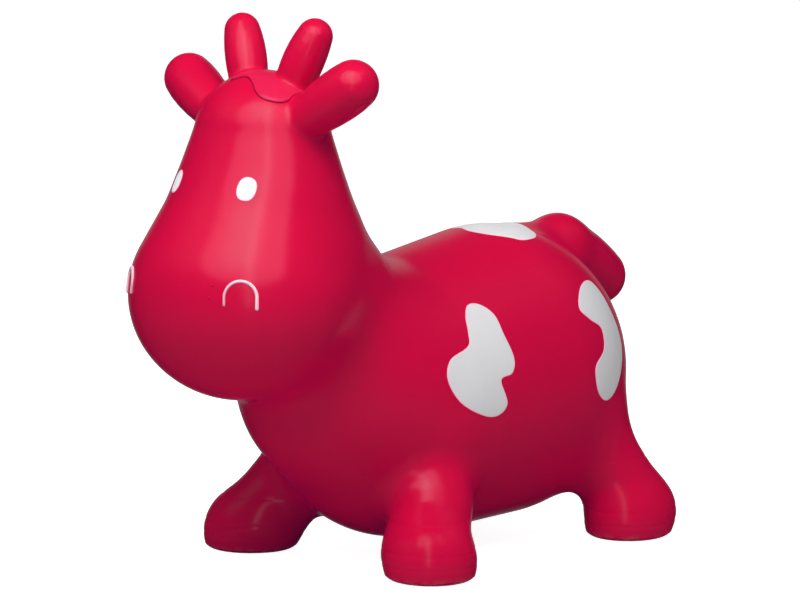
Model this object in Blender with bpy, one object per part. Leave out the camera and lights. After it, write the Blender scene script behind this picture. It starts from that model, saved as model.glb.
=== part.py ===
"""Bouncy ride-on cow: a blown-up soft vinyl hopper with horns to hold, ears, a tail and four flat feet.

Metres, +Z up. The cow looks along -Y and its left side is +X. The origin lies on the floor,
in the middle of the cow's length and width.

The skin is one thin wall. It is worked out as a blend of round forms, one for each part of
the animal, and cut into the zones that flex against each other.
"""

from collections import namedtuple
from math import cos, pi, radians, sin, sqrt

import bmesh
import bpy
import numpy as np
from mathutils import Matrix, Vector

Ball = namedtuple("Ball", "centre radius")

# Gaps and walls
GAP = 0.0003
SOCKET_CLEARANCE = 0.0005
SKIN_WALL = 0.0022
SOLE_WALL = 0.0032
CUT_OVERRUN = 0.010

# How fine the faceted skin is
FACET_SIZE = 0.0175
LIMB_SIDES = 12
CUTTER_SIDES = 24
MARK_SIDES = 16
SETTLING_ROUNDS = 8
SLOPE_STEP = 0.0004
JOINING_DISTANCE = 0.00003
SMOOTH_ANGLE = radians(40)

# Trunk: a long ball from chest to rump, a little narrower than it is high
CHEST_AHEAD = 0.060
CHEST_HEIGHT = 0.132
CHEST_RADIUS = 0.1175
RUMP_BEHIND = 0.056
RUMP_HEIGHT = 0.142
RUMP_RADIUS = 0.125
TRUNK_WIDTH_SHARE = 0.93

# Head: crown, brow and muzzle, a little wider than it is deep
MUZZLE_AHEAD = 0.246
MUZZLE_HEIGHT = 0.2375
MUZZLE_RADIUS = 0.085
BROW_AHEAD = 0.221
BROW_HEIGHT = 0.3205
BROW_RADIUS = 0.060
CROWN_AHEAD = 0.219
CROWN_HEIGHT = 0.3655
CROWN_RADIUS = 0.052
HEAD_WIDTH_SHARE = 1.13
BROW_BLEND = 0.016

# Neck and brisket
NECK_TOP_AHEAD = 0.193
NECK_TOP_HEIGHT = 0.254
NECK_TOP_RADIUS = 0.0715
NECK_BASE_AHEAD = 0.121
NECK_BASE_HEIGHT = 0.159
NECK_BASE_RADIUS = 0.081
BRISKET_AHEAD = 0.145
BRISKET_HEIGHT = 0.1475
BRISKET_RADIUS = 0.068
NECK_BLEND = 0.029
CHIN_BLEND = 0.0355
NECK_SEAM_SHARE = 0.5

# Legs: hip, ankle and the ball of the foot, which the floor cuts flat
FRONT_HIP_SIDE = 0.069
FRONT_HIP_AHEAD = 0.077
FRONT_HIP_HEIGHT = 0.080
FRONT_HIP_RADIUS = 0.038
FRONT_ANKLE_SIDE = 0.0965
FRONT_ANKLE_AHEAD = 0.1275
FRONT_FOOT_SIDE = 0.1045
FRONT_FOOT_AHEAD = 0.1305
FRONT_FOOT_RADIUS = 0.0374
REAR_HIP_SIDE = 0.0765
REAR_HIP_BEHIND = 0.106
REAR_HIP_HEIGHT = 0.093
REAR_HIP_RADIUS = 0.0266
REAR_ANKLE_SIDE = 0.099
REAR_ANKLE_BEHIND = 0.134
REAR_FOOT_SIDE = 0.101
REAR_FOOT_BEHIND = 0.1245
REAR_FOOT_RADIUS = 0.0365
ANKLE_HEIGHT = 0.0205
ANKLE_RADIUS = 0.0345
FOOT_HEIGHT = 0.014
FOOT_BLEND = 0.012
HIP_BLEND = 0.034
FOOT_SEAM_HEIGHT = 0.024
LEG_SEAM_HEIGHT = 0.062
LEG_SEAM_MARGIN = 0.012

# Horns and ears: round limbs on ball roots, with their places given from the crown's middle.
# A tip's place is given from its own root.
HORN_ROOT_SIDE = 0.0243
HORN_ROOT_BACK = 0.010
HORN_ROOT_RISE = 0.0401
HORN_ROOT_RADIUS = 0.0168
HORN_SPREAD = 0.016
HORN_SWEEP = 0.009
HORN_RISE = 0.0402
HORN_TIP_RADIUS = 0.0158
EAR_ROOT_SIDE = 0.038
EAR_ROOT_FORWARD = 0.004
EAR_ROOT_RISE = 0.0095
EAR_ROOT_RADIUS = 0.016
EAR_SPREAD = 0.057
EAR_TIP_RADIUS = 0.0216
LEFT_EAR_SWEEP = 0.009
LEFT_EAR_RISE = 0.037
RIGHT_EAR_SWEEP = 0.017
RIGHT_EAR_RISE = 0.030

# Tail: a bump and a root given from the rump's middle, and a tip given from the root
TAIL_BUMP_BACK = 0.041
TAIL_BUMP_RISE = 0.098
TAIL_BUMP_RADIUS = 0.021
TAIL_ROOT_BACK = 0.093
TAIL_ROOT_RISE = 0.095
TAIL_ROOT_RADIUS = 0.029
TAIL_RUN = 0.0537
TAIL_DROP = 0.029
TAIL_TIP_RADIUS = 0.0252
TAIL_BLEND = 0.015

# Ball roots
ROOT_FIT_SHARE = 0.972
ROOT_FLARE_SHARE = 0.33
ROOT_OPENING_ANGLE = radians(38)
ROOT_RIM_ANGLE = radians(15)
LIMB_ARC_STEP = radians(26)

# Painted and moulded marks, each a thin plate on the skin
PAINT_THICKNESS = 0.0007
EYE_SIDE = 0.0389
EYE_RISE = 0.0095
EYE_WIDTH = 0.0162
EYE_LENGTH = 0.0200
EYE_LEAN = radians(12)
NOSTRIL_SIDE = 0.0618
NOSTRIL_ABOVE_MUZZLE = 0.010
NOSTRIL_RADIUS = 0.0133
NOSTRIL_STROKE = 0.0036
NOSTRIL_LEG = 0.0095
NOSTRIL_RISE = 0.0014
FORELOCK_RISE = 0.0016
FORELOCK_WIDTH = 0.060
FORELOCK_LENGTH = 0.036
FORELOCK_SIDE = 0.016
FORELOCK_FORWARD = 0.027
FORELOCK_MARGIN = 0.0018
FORELOCK_shares = [(-0.50, 0.14), (-0.26, 0.21), (-0.06, 0.06), (0.07, -0.07), (0.22, -0.09),
                   (0.37, 0.06), (0.45, 0.26), (0.45, 0.48), (0.33, 1.0), (-0.50, 1.0)]
FLANK_PATCH_LENGTH = 0.075
FLANK_PATCH_HEIGHT = 0.089
FLANK_PATCH_FORWARD = 0.007
FLANK_PATCH_RISE = 0.040
FLANK_PATCH_shares = [(0.02, 0.40), (0.14, 0.50), (0.30, 0.50), (0.43, 0.40), (0.45, 0.22),
                      (0.50, 0.0), (0.43, -0.13), (0.25, -0.18), (0.32, -0.40), (0.18, -0.50),
                      (-0.05, -0.48), (-0.35, -0.34), (-0.50, -0.12), (-0.42, 0.06),
                      (-0.12, 0.16), (-0.04, 0.28)]
RUMP_PATCH_LENGTH = 0.080
RUMP_PATCH_HEIGHT = 0.0985
RUMP_PATCH_BACK = 0.0435
RUMP_PATCH_RISE = 0.031
RUMP_PATCH_shares = [(-0.06, 0.50), (-0.32, 0.47), (-0.50, 0.32), (-0.38, 0.21), (-0.22, 0.12),
                     (-0.25, -0.05), (-0.44, -0.19), (-0.40, -0.40), (-0.22, -0.50),
                     (-0.02, -0.43), (0.15, -0.27), (0.235, -0.09), (0.225, 0.06), (0.17, 0.20),
                     (0.09, 0.38)]
BACK_PATCH_WIDTH = 0.085
BACK_PATCH_LENGTH = 0.073
BACK_PATCH_SIDE = 0.002
BACK_PATCH_BACK = 0.0085
BACK_PATCH_shares = [(-0.16, -0.40), (0.04, -0.50), (0.24, -0.45), (0.42, -0.28), (0.50, -0.16),
                     (0.48, 0.06), (0.38, 0.22), (0.25, 0.31), (0.08, 0.36), (-0.14, 0.31),
                     (-0.36, 0.18), (-0.50, -0.04), (-0.42, -0.25), (-0.30, -0.37)]
OUTLINE_STEPS = 2

# Air valve under the tail, given from the rump's middle
VALVE_DROP = 0.027
SEAT_RADIUS = 0.0115
SEAT_RISE = 0.0012
SEAT_FLANGE = 0.0050
SEAT_TUBE_RADIUS = 0.0072
SEAT_DEPTH = 0.0160
SEAT_BORE_RADIUS = 0.0044
PLUG_HEAD_RADIUS = 0.0085
PLUG_HEAD_THICKNESS = 0.0024
PLUG_HEAD_ROUND = 0.0008
PLUG_STEM_RADIUS = 0.0037
PLUG_STEM_LENGTH = 0.0135
PLUG_RING_RISE = 0.0003
PLUG_RING_SHARE = 0.33
PLUG_RINGS = 3
VALVE_SIDES = 16

# Finishes: name, colour, roughness
FINISHES = {
    "crimson_vinyl": ((0.60, 0.006, 0.045), 0.28),
    "white_paint": ((0.95, 0.95, 0.95), 0.35),
    "pink_paint": ((0.93, 0.62, 0.66), 0.40),
    "grey_paint": ((0.57, 0.60, 0.57), 0.40),
    "valve_rubber": ((0.78, 0.80, 0.80), 0.45),
}


# Places along the cow, measured from the middle between its feet
tail_root_behind = RUMP_BEHIND + TAIL_ROOT_BACK
tail_root_height = RUMP_HEIGHT + TAIL_ROOT_RISE
tail_tip_behind = tail_root_behind + TAIL_RUN
nose_reach = MUZZLE_AHEAD + MUZZLE_RADIUS
tail_reach = tail_tip_behind + TAIL_TIP_RADIUS
middle_ahead = (nose_reach - tail_reach) / 2


def ahead(distance):
    """Y of a place that lies this far ahead of the middle between the feet."""
    return middle_ahead - distance


def behind(distance):
    """Y of a place that lies this far behind the middle between the feet."""
    return middle_ahead + distance


def ball(side, y, height, radius):
    return Ball(np.array((side, y, height)), radius)


chest = ball(0, ahead(CHEST_AHEAD), CHEST_HEIGHT, CHEST_RADIUS)
rump = ball(0, behind(RUMP_BEHIND), RUMP_HEIGHT, RUMP_RADIUS)
crown = ball(0, ahead(CROWN_AHEAD), CROWN_HEIGHT, CROWN_RADIUS)
brow = ball(0, ahead(BROW_AHEAD), BROW_HEIGHT, BROW_RADIUS)
muzzle = ball(0, ahead(MUZZLE_AHEAD), MUZZLE_HEIGHT, MUZZLE_RADIUS)
neck_top = ball(0, ahead(NECK_TOP_AHEAD), NECK_TOP_HEIGHT, NECK_TOP_RADIUS)
neck_base = ball(0, ahead(NECK_BASE_AHEAD), NECK_BASE_HEIGHT, NECK_BASE_RADIUS)
brisket = ball(0, ahead(BRISKET_AHEAD), BRISKET_HEIGHT, BRISKET_RADIUS)
tail_bump = ball(0, behind(RUMP_BEHIND + TAIL_BUMP_BACK), RUMP_HEIGHT + TAIL_BUMP_RISE,
                 TAIL_BUMP_RADIUS)
tail_root = ball(0, behind(tail_root_behind), tail_root_height, TAIL_ROOT_RADIUS)
tail_tip = ball(0, behind(tail_tip_behind), tail_root_height - TAIL_DROP, TAIL_TIP_RADIUS)
LEGS = {
    "front": (ball(FRONT_HIP_SIDE, ahead(FRONT_HIP_AHEAD), FRONT_HIP_HEIGHT, FRONT_HIP_RADIUS),
              ball(FRONT_ANKLE_SIDE, ahead(FRONT_ANKLE_AHEAD), ANKLE_HEIGHT, ANKLE_RADIUS),
              ball(FRONT_FOOT_SIDE, ahead(FRONT_FOOT_AHEAD), FOOT_HEIGHT, FRONT_FOOT_RADIUS)),
    "rear": (ball(REAR_HIP_SIDE, behind(REAR_HIP_BEHIND), REAR_HIP_HEIGHT, REAR_HIP_RADIUS),
             ball(REAR_ANKLE_SIDE, behind(REAR_ANKLE_BEHIND), ANKLE_HEIGHT, ANKLE_RADIUS),
             ball(REAR_FOOT_SIDE, behind(REAR_FOOT_BEHIND), FOOT_HEIGHT, REAR_FOOT_RADIUS)),
}
SIDES = {"left": 1, "right": -1}


# The form of the skin, as a distance that is below zero inside the cow
def round_cone(points, first, last):
    """Distance to the skin stretched over two balls."""
    axis = last.centre - first.centre
    length = np.linalg.norm(axis)
    taper = (first.radius - last.radius) / length
    if abs(taper) >= 1:
        larger = max(first, last, key=lambda each: each.radius)
        return np.linalg.norm(points - larger.centre, axis=-1) - larger.radius
    offset = points - first.centre
    along = offset @ (axis / length)
    away = np.sqrt(np.maximum((offset ** 2).sum(-1) - along ** 2, 0))
    nearest = np.clip(along - taper * away / sqrt(1 - taper ** 2), 0, length)
    return np.hypot(away, along - nearest) - (first.radius - taper * nearest)


def blended(first, second, width):
    """The lesser of two distances, with a fillet where they are alike."""
    overlap = np.maximum(width - np.abs(first - second), 0) / width
    return np.minimum(first, second) - overlap ** 2 * width / 4


def widened(points, share):
    """Points seen by a form that is made wider by this share."""
    return points / np.array((share, 1, 1))


def cow_form(points):
    trunk = round_cone(widened(points, TRUNK_WIDTH_SHARE), chest, rump)
    head_points = widened(points, HEAD_WIDTH_SHARE)
    head = blended(round_cone(head_points, crown, brow),
                   round_cone(head_points, brow, muzzle), BROW_BLEND)
    form = blended(trunk, round_cone(points, neck_top, neck_base), NECK_BLEND)
    form = blended(form, round_cone(points, brisket, neck_base), NECK_BLEND)
    form = blended(form, head, CHIN_BLEND)
    mirrored = np.abs(points * (1, 0, 0)) + points * (0, 1, 1)
    for hip, ankle, foot in LEGS.values():
        leg = blended(round_cone(mirrored, hip, ankle),
                      round_cone(mirrored, ankle, foot), FOOT_BLEND)
        form = blended(form, leg, HIP_BLEND)
    return blended(form, round_cone(points, tail_bump, tail_root), TAIL_BLEND)


def slope(points):
    """Direction in which the form's distance grows, with its rate."""
    steps = np.eye(3) * SLOPE_STEP
    rises = [cow_form(points + step) - cow_form(points - step) for step in steps]
    return np.stack(rises, -1) / (2 * SLOPE_STEP)


def outward(points):
    """Unit vectors that point out of the skin."""
    direction = slope(points)
    return direction / np.linalg.norm(direction, axis=-1, keepdims=True)


def onto_skin(points):
    """Points moved along the slope to where the distance is zero."""
    for _ in range(2):
        rate = slope(points)
        points = points - rate * (cow_form(points) / (rate ** 2).sum(-1))[..., None]
    return points


def skin_hit(start, direction):
    """Where a ray from outside first meets the skin, and the skin's outward direction there."""
    reach = nose_reach + tail_reach
    distances = np.arange(0, reach, SKIN_WALL)
    track = start + distances[:, None] * direction
    first = int(np.argmax(cow_form(track) < 0))
    point = onto_skin(track[first:first + 1])[0]
    return point, outward(point[None])[0]


# The faceted skin: one point in each grid cell that the form's surface crosses
def grid_cells():
    """Grid corners that span the cow, symmetric about its middle plane."""
    balls = [chest, rump, crown, brow, muzzle, neck_top, neck_base, brisket, tail_root]
    balls += [each for leg in LEGS.values() for each in leg]
    reach = np.array([np.abs(each.centre) + each.radius * HEAD_WIDTH_SHARE for each in balls])
    half = np.ceil(reach.max(0) / FACET_SIZE) * FACET_SIZE + 2 * FACET_SIZE
    counts = np.rint(2 * half / FACET_SIZE).astype(int) + 1
    axes = [FACET_SIZE * np.arange(count) - side for count, side in zip(counts, half)]
    return -half, np.stack(np.meshgrid(*axes, indexing="ij"), -1)


def without_pinches(inside):
    """Fill the grid corners between which the net would touch itself along an edge."""
    pinched = True
    while pinched:
        pinched = False
        for first, second in ((0, 1), (1, 2), (2, 0)):
            across = np.roll(inside, -1, first)
            above = np.roll(inside, -1, second)
            opposite = np.roll(across, -1, second)
            checkered = (inside == opposite) & (across == above) & (inside != across)
            pinched = pinched or checkered.any()
            wider = checkered | np.roll(checkered, 1, first)
            inside = inside | wider | np.roll(wider, 1, second)
    return inside


def skin_net():
    """Points and quads of a closed net over the whole skin."""
    low, corners = grid_cells()
    inside = without_pinches(cow_form(corners) < 0)
    cells = {}
    quads = []
    for axis in range(3):
        side = np.eye(3, dtype=int)[(axis + 1) % 3]
        up = np.eye(3, dtype=int)[(axis + 2) % 3]
        for corner in np.argwhere(np.diff(inside.astype(int), axis=axis)):
            ring = [corner - side - up, corner - up, corner, corner - side]
            if not inside[tuple(corner)]:
                ring.reverse()
            quads.append([cells.setdefault(tuple(cell), len(cells)) for cell in ring])
    middles = np.array(list(cells)) + np.full(3, 1 / 2)
    return low + middles * FACET_SIZE, np.array(quads)


def settled(points, quads):
    """The net's points spread evenly and laid on the skin."""
    pairs = np.vstack([quads[:, (i, (i + 1) % 4)] for i in range(4)])
    pairs = np.unique(np.sort(pairs, axis=1), axis=0)
    neighbours = np.bincount(pairs.ravel(), minlength=len(points))[:, None]
    for _ in range(SETTLING_ROUNDS):
        total = np.zeros_like(points)
        np.add.at(total, pairs[:, 0], points[pairs[:, 1]])
        np.add.at(total, pairs[:, 1], points[pairs[:, 0]])
        points = onto_skin((points + total / neighbours) / 2)
    return points


def triangles_of(points, quads):
    """The quads split along their shorter diagonals."""
    faces = []
    for a, b, c, d in quads:
        if np.linalg.norm(points[a] - points[c]) < np.linalg.norm(points[b] - points[d]):
            faces += [(a, b, c), (a, c, d)]
        else:
            faces += [(a, b, d), (b, c, d)]
    return faces


# Objects, finishes and cuts
def finish(name):
    material = bpy.data.materials.get(name)
    if material is None:
        colour, roughness = FINISHES[name]
        material = bpy.data.materials.new(name)
        material.use_nodes = True
        shader = material.node_tree.nodes["Principled BSDF"]
        shader.inputs["Base Color"].default_value = (*colour, 1)
        shader.inputs["Roughness"].default_value = roughness
        shader.inputs["Metallic"].default_value = 0
    return material


def new_object(name, points, faces):
    mesh = bpy.data.meshes.new(name)
    mesh.from_pydata([tuple(point) for point in points], [], [tuple(face) for face in faces])
    made = bpy.data.objects.new(name, mesh)
    bpy.context.collection.objects.link(made)
    return made


def as_cutter(made):
    made.hide_render = True
    made.display_type = "WIRE"
    return made


def baked(made):
    """The object with its modifiers made part of its mesh."""
    graph = bpy.context.evaluated_depsgraph_get()
    mesh = bpy.data.meshes.new_from_object(made.evaluated_get(graph))
    made.modifiers.clear()
    made.data = mesh
    return made


def cut(made, *steps):
    """Cut an object with one cutter after another: INTERSECT keeps, DIFFERENCE takes away."""
    for operation, cutter in steps:
        modifier = made.modifiers.new(cutter.name, "BOOLEAN")
        modifier.operation = operation
        modifier.object = cutter
        modifier.solver = "EXACT"
    return baked(made)


def piece(name, source, material, *steps, origin=None):
    """A named piece cut from a copy of a source solid, with its origin at its own place."""
    made = bpy.data.objects.new(name, source.data.copy())
    bpy.context.collection.objects.link(made)
    cut(made, *steps)
    if origin is not None:
        made.data.transform(Matrix.Translation(-Vector(origin)))
        made.location = origin
    dress(made, material)
    return made


def dress(made, material):
    made.data.materials.clear()
    made.data.materials.append(finish(material))
    made.data.shade_smooth()
    made.data.set_sharp_from_angle(angle=SMOOTH_ANGLE)


def frame_along(origin, direction, upright=(0, 0, 1)):
    """A placement whose Z runs along a direction and whose Y leans towards upright."""
    forward = Vector(direction).normalized()
    sideways = Vector(upright).cross(forward).normalized()
    turn = Matrix((sideways, forward.cross(sideways), forward)).transposed()
    return Matrix.Translation(Vector(origin)) @ turn.to_4x4()


# Cutters
def block(name, low, high, placement=Matrix.Identity(4)):
    corners = [(x, y, z) for x in (low[0], high[0]) for y in (low[1], high[1])
               for z in (low[2], high[2])]
    faces = [(0, 1, 3, 2), (4, 6, 7, 5), (0, 4, 5, 1), (2, 3, 7, 6), (0, 2, 6, 4), (1, 5, 7, 3)]
    made = new_object(name, [placement @ Vector(corner) for corner in corners], faces)
    return as_cutter(made)


def column(name, rings):
    """A closed column through level rings, each a centre and a radius."""
    points = []
    for centre, radius in rings:
        for step in range(CUTTER_SIDES):
            angle = 2 * pi * step / CUTTER_SIDES
            points.append(centre + radius * np.array((cos(angle), sin(angle), 0)))
    faces = [tuple(reversed(range(CUTTER_SIDES)))]
    for ring in range(len(rings) - 1):
        first = ring * CUTTER_SIDES
        for step in range(CUTTER_SIDES):
            following = (step + 1) % CUTTER_SIDES
            faces.append((first + step, first + following,
                          first + CUTTER_SIDES + following, first + CUTTER_SIDES + step))
    top = (len(rings) - 1) * CUTTER_SIDES
    faces.append(tuple(range(top, top + CUTTER_SIDES)))
    return as_cutter(new_object(name, points, faces))


def ball_cutter(name, centre, radius):
    """A ball whose flat facets all stay outside the radius."""
    mesh = bpy.data.meshes.new(name)
    form = bmesh.new()
    outer = radius / cos(pi / CUTTER_SIDES) ** 2
    bmesh.ops.create_uvsphere(form, u_segments=CUTTER_SIDES, v_segments=CUTTER_SIDES // 2,
                              radius=outer, matrix=Matrix.Translation(Vector(centre)))
    form.to_mesh(mesh)
    form.free()
    made = bpy.data.objects.new(name, mesh)
    bpy.context.collection.objects.link(made)
    return as_cutter(made)


def prism(name, outline, placement, depth, height):
    """A straight prism over a flat outline, from depth below its plane to height above it."""
    count = len(outline)
    points = [placement @ Vector((x, y, -depth)) for x, y in outline]
    points += [placement @ Vector((x, y, height)) for x, y in outline]
    faces = [tuple(reversed(range(count))), tuple(range(count, 2 * count))]
    for step in range(count):
        following = (step + 1) % count
        faces.append((step, following, count + following, count + step))
    return as_cutter(new_object(name, points, faces))


# Outlines
def smooth_outline(shares, width, height):
    """A closed smooth line through points given as shares of a width and a height."""
    corners = np.array(shares) * (width, height)
    line = []
    for index in range(len(corners)):
        before, start, end, after = (corners[(index + i) % len(corners)] for i in (-1, 0, 1, 2))
        for step in range(OUTLINE_STEPS):
            t = step / OUTLINE_STEPS
            line.append((2 * start + (end - before) * t
                         + (2 * before - 5 * start + 4 * end - after) * t ** 2
                         + (3 * start - before - 3 * end + after) * t ** 3) / 2)
    area = sum(a[0] * b[1] - b[0] * a[1] for a, b in zip(line, line[1:] + line[:1]))
    return line if area > 0 else line[::-1]


def oval(width, height, lean):
    """An oval whose top leans sideways by an angle."""
    line = []
    for step in range(MARK_SIDES):
        angle = 2 * pi * step / MARK_SIDES
        x = width / 2 * cos(angle)
        y = height / 2 * sin(angle)
        line.append((x * cos(lean) + y * sin(lean), y * cos(lean) - x * sin(lean)))
    return line


def arch(radius, stroke, leg):
    """The outline of an arch: a half ring on two straight legs."""
    steps = LIMB_SIDES // 2
    angles = [pi * step / steps for step in range(steps + 1)]
    outer = [((radius + stroke / 2) * cos(a), (radius + stroke / 2) * sin(a)) for a in angles]
    inner = [((radius - stroke / 2) * cos(a), (radius - stroke / 2) * sin(a)) for a in angles]
    feet = [(-radius - stroke / 2, -leg), (-radius + stroke / 2, -leg)]
    other = [(radius - stroke / 2, -leg), (radius + stroke / 2, -leg)]
    return outer + feet + inner[::-1] + other


# Turned pieces
def turned(name, profile, placement, sides, material, closed=True):
    """A body turned about Z from a profile of radius and height, then placed."""
    form = bmesh.new()
    corners = [form.verts.new((radius, 0, height)) for radius, height in profile]
    pairs = list(zip(corners, corners[1:]))
    if closed:
        pairs.append((corners[-1], corners[0]))
    edges = [form.edges.new(pair) for pair in pairs]
    bmesh.ops.spin(form, geom=corners + edges, cent=(0, 0, 0), axis=(0, 0, 1),
                   angle=2 * pi, steps=sides, use_merge=True)
    bmesh.ops.remove_doubles(form, verts=form.verts, dist=JOINING_DISTANCE)
    bmesh.ops.recalc_face_normals(form, faces=form.faces)
    mesh = bpy.data.meshes.new(name)
    form.to_mesh(mesh)
    form.free()
    made = bpy.data.objects.new(name, mesh)
    bpy.context.collection.objects.link(made)
    made.matrix_world = placement
    dress(made, material)
    return made


def arc(centre, radius, start, end):
    """Profile points on an arc, with angles from the lower end of the axis."""
    steps = max(1, round(abs(end - start) / LIMB_ARC_STEP))
    angles = [start + (end - start) * step / steps for step in range(steps + 1)]
    return [(radius * sin(angle), centre - radius * cos(angle)) for angle in angles]


def limb(name, pivot, tip, neck_radius, root_radius):
    """A hollow round limb on a ball root, open at its lower end so that air passes."""
    length = float(np.linalg.norm(tip.centre - pivot))
    lean = np.arcsin((neck_radius - tip.radius) / length)
    open_end = ROOT_OPENING_ANGLE
    rim = pi / 2 + ROOT_RIM_ANGLE
    side = pi / 2 + lean
    outer = arc(0, root_radius, open_end, rim) + arc(length, tip.radius, side, pi)
    inner = arc(0, root_radius - SKIN_WALL, open_end, pi / 2)
    inner += arc(length, tip.radius - SKIN_WALL, side, pi)
    outer[-1] = (0, length + tip.radius)
    inner[-1] = (0, length + tip.radius - SKIN_WALL)
    profile = outer + inner[::-1]
    placement = frame_along(pivot, tip.centre - pivot, upright=(0, 1, 0))
    return turned(name, profile, placement, LIMB_SIDES, "crimson_vinyl")


def limb_root(root, tip):
    """Where a limb leaves the skin, its radius there and the radius of its ball root."""
    length = np.linalg.norm(tip.centre - root.centre)
    direction = (tip.centre - root.centre) / length
    start = tip.centre + direction * tip.radius
    pivot, _ = skin_hit(start, -direction)
    share = np.dot(pivot - root.centre, direction) / length
    growth = tip.radius - root.radius
    neck_radius = root.radius + growth * share
    flare = max(0, growth) * neck_radius / length * ROOT_FLARE_SHARE
    return pivot, float(neck_radius), float((neck_radius + flare) / ROOT_FIT_SHARE)


# Build
for old in list(bpy.data.objects):
    bpy.data.objects.remove(old, do_unlink=True)

net_points, net_quads = skin_net()
net_points = settled(net_points, net_quads)
net_faces = triangles_of(net_points, net_quads)
net_normals = outward(net_points)
far = nose_reach + tail_reach


def skin_solid(name, offset):
    """The whole form as a solid, with its skin moved outwards by an offset."""
    return as_cutter(new_object(name, net_points + net_normals * offset, net_faces))


# The hollow skin, cut flat where it stands
above_floor = block("above_floor", (-far, -far, 0), (far, far, far))
above_sole = block("above_sole", (-far, -far, SOLE_WALL), (far, far, far))
cavity = cut(skin_solid("cavity", -SKIN_WALL), ("INTERSECT", above_sole))
shell = cut(skin_solid("shell", 0), ("INTERSECT", above_floor), ("DIFFERENCE", cavity))

# Neck seam, square across the middle of the neck
neck_line = neck_top.centre - neck_base.centre
seam_point = neck_base.centre + neck_line * NECK_SEAM_SHARE
seam_frame = frame_along(seam_point, neck_line, upright=(0, 1, 0))
head_space = block("head_space", (-far, -far, GAP / 2), (far, far, far), seam_frame)
head_room = block("head_room", (-far, -far, -GAP / 2), (far, far, far), seam_frame)

# Horns, ears and tail, with the sockets that they turn in
head_sockets = []
trunk_sockets = []
forelock_rooms = []
for side, sign in SIDES.items():
    horn_root = ball(sign * HORN_ROOT_SIDE, ahead(CROWN_AHEAD - HORN_ROOT_BACK),
                     CROWN_HEIGHT + HORN_ROOT_RISE, HORN_ROOT_RADIUS)
    horn_tip = ball(sign * (HORN_ROOT_SIDE + HORN_SPREAD), horn_root.centre[1] + HORN_SWEEP,
                    horn_root.centre[2] + HORN_RISE, HORN_TIP_RADIUS)
    pivot, neck_radius, root_radius = limb_root(horn_root, horn_tip)
    limb("horn_" + side, pivot, horn_tip, neck_radius, root_radius)
    head_sockets.append(ball_cutter("horn_socket_" + side, pivot, root_radius + SOCKET_CLEARANCE))
    forelock_rooms.append(ball_cutter("horn_room_" + side, pivot, root_radius + FORELOCK_MARGIN))
ear_tips = {"left": (LEFT_EAR_SWEEP, LEFT_EAR_RISE), "right": (RIGHT_EAR_SWEEP, RIGHT_EAR_RISE)}
for side, sign in SIDES.items():
    sweep, rise = ear_tips[side]
    ear_root = ball(sign * EAR_ROOT_SIDE, ahead(CROWN_AHEAD + EAR_ROOT_FORWARD),
                    CROWN_HEIGHT + EAR_ROOT_RISE, EAR_ROOT_RADIUS)
    ear_tip = ball(sign * (EAR_ROOT_SIDE + EAR_SPREAD), ear_root.centre[1] + sweep,
                   ear_root.centre[2] + rise, EAR_TIP_RADIUS)
    pivot, neck_radius, root_radius = limb_root(ear_root, ear_tip)
    limb("ear_" + side, pivot, ear_tip, neck_radius, root_radius)
    head_sockets.append(ball_cutter("ear_socket_" + side, pivot, root_radius + SOCKET_CLEARANCE))
    forelock_rooms.append(ball_cutter("ear_room_" + side, pivot, root_radius + FORELOCK_MARGIN))
tail_ball = TAIL_ROOT_RADIUS / ROOT_FIT_SHARE
tail = limb("tail", tail_root.centre, tail_tip, TAIL_ROOT_RADIUS, tail_ball)
tail_seat = cut(skin_solid("tail_seat", GAP),
                ("DIFFERENCE", ball_cutter("tail_ball", tail_root.centre, tail_ball)))
dress(cut(tail, ("DIFFERENCE", tail_seat)), "crimson_vinyl")
trunk_sockets.append(ball_cutter("tail_socket", tail_root.centre, tail_ball + SOCKET_CLEARANCE))

# Valve seat and plug, square to the skin under the tail
valve_point, valve_out = skin_hit(np.array((0, behind(far), RUMP_HEIGHT - VALVE_DROP)),
                                  np.array((0, -1, 0)))
valve_frame = frame_along(valve_point, valve_out)
seat_profile = [(SEAT_BORE_RADIUS, SEAT_RISE), (SEAT_RADIUS, SEAT_RISE),
                (SEAT_RADIUS, SEAT_RISE - SEAT_FLANGE), (SEAT_TUBE_RADIUS, SEAT_RISE - SEAT_FLANGE),
                (SEAT_TUBE_RADIUS, -SEAT_DEPTH), (SEAT_BORE_RADIUS, -SEAT_DEPTH)]
turned("valve_seat", seat_profile, valve_frame, VALVE_SIDES, "valve_rubber")
stem_end = -PLUG_STEM_LENGTH
plug_profile = [(0, PLUG_HEAD_THICKNESS), (PLUG_HEAD_RADIUS - PLUG_HEAD_ROUND, PLUG_HEAD_THICKNESS),
                (PLUG_HEAD_RADIUS, PLUG_HEAD_THICKNESS - PLUG_HEAD_ROUND), (PLUG_HEAD_RADIUS, 0),
                (PLUG_STEM_RADIUS, 0)]
ring_pitch = PLUG_STEM_LENGTH / (PLUG_RINGS + 1)
ring_half = ring_pitch * PLUG_RING_SHARE
for ring in range(PLUG_RINGS):
    ring_level = -ring_pitch * (ring + 1)
    plug_profile += [(PLUG_STEM_RADIUS, ring_level + ring_half),
                     (PLUG_STEM_RADIUS + PLUG_RING_RISE, ring_level),
                     (PLUG_STEM_RADIUS, ring_level - ring_half)]
plug_profile += [(PLUG_STEM_RADIUS, stem_end), (0, stem_end)]
plug_frame = valve_frame @ Matrix.Translation((0, 0, SEAT_RISE + GAP))
turned("valve_plug", plug_profile, plug_frame, VALVE_SIDES, "valve_rubber", closed=False)
valve_hole = prism("valve_hole", oval(2 * (SEAT_RADIUS + GAP), 2 * (SEAT_RADIUS + GAP), 0),
                   valve_frame, SEAT_DEPTH + CUT_OVERRUN, CUT_OVERRUN)

# Legs and feet, each inside a column round its own leg
def at_height(centre, sign, height):
    """The place of a centre on the chosen side of the cow, brought to a height."""
    return np.array((centre[0] * sign, centre[1], height))


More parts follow.
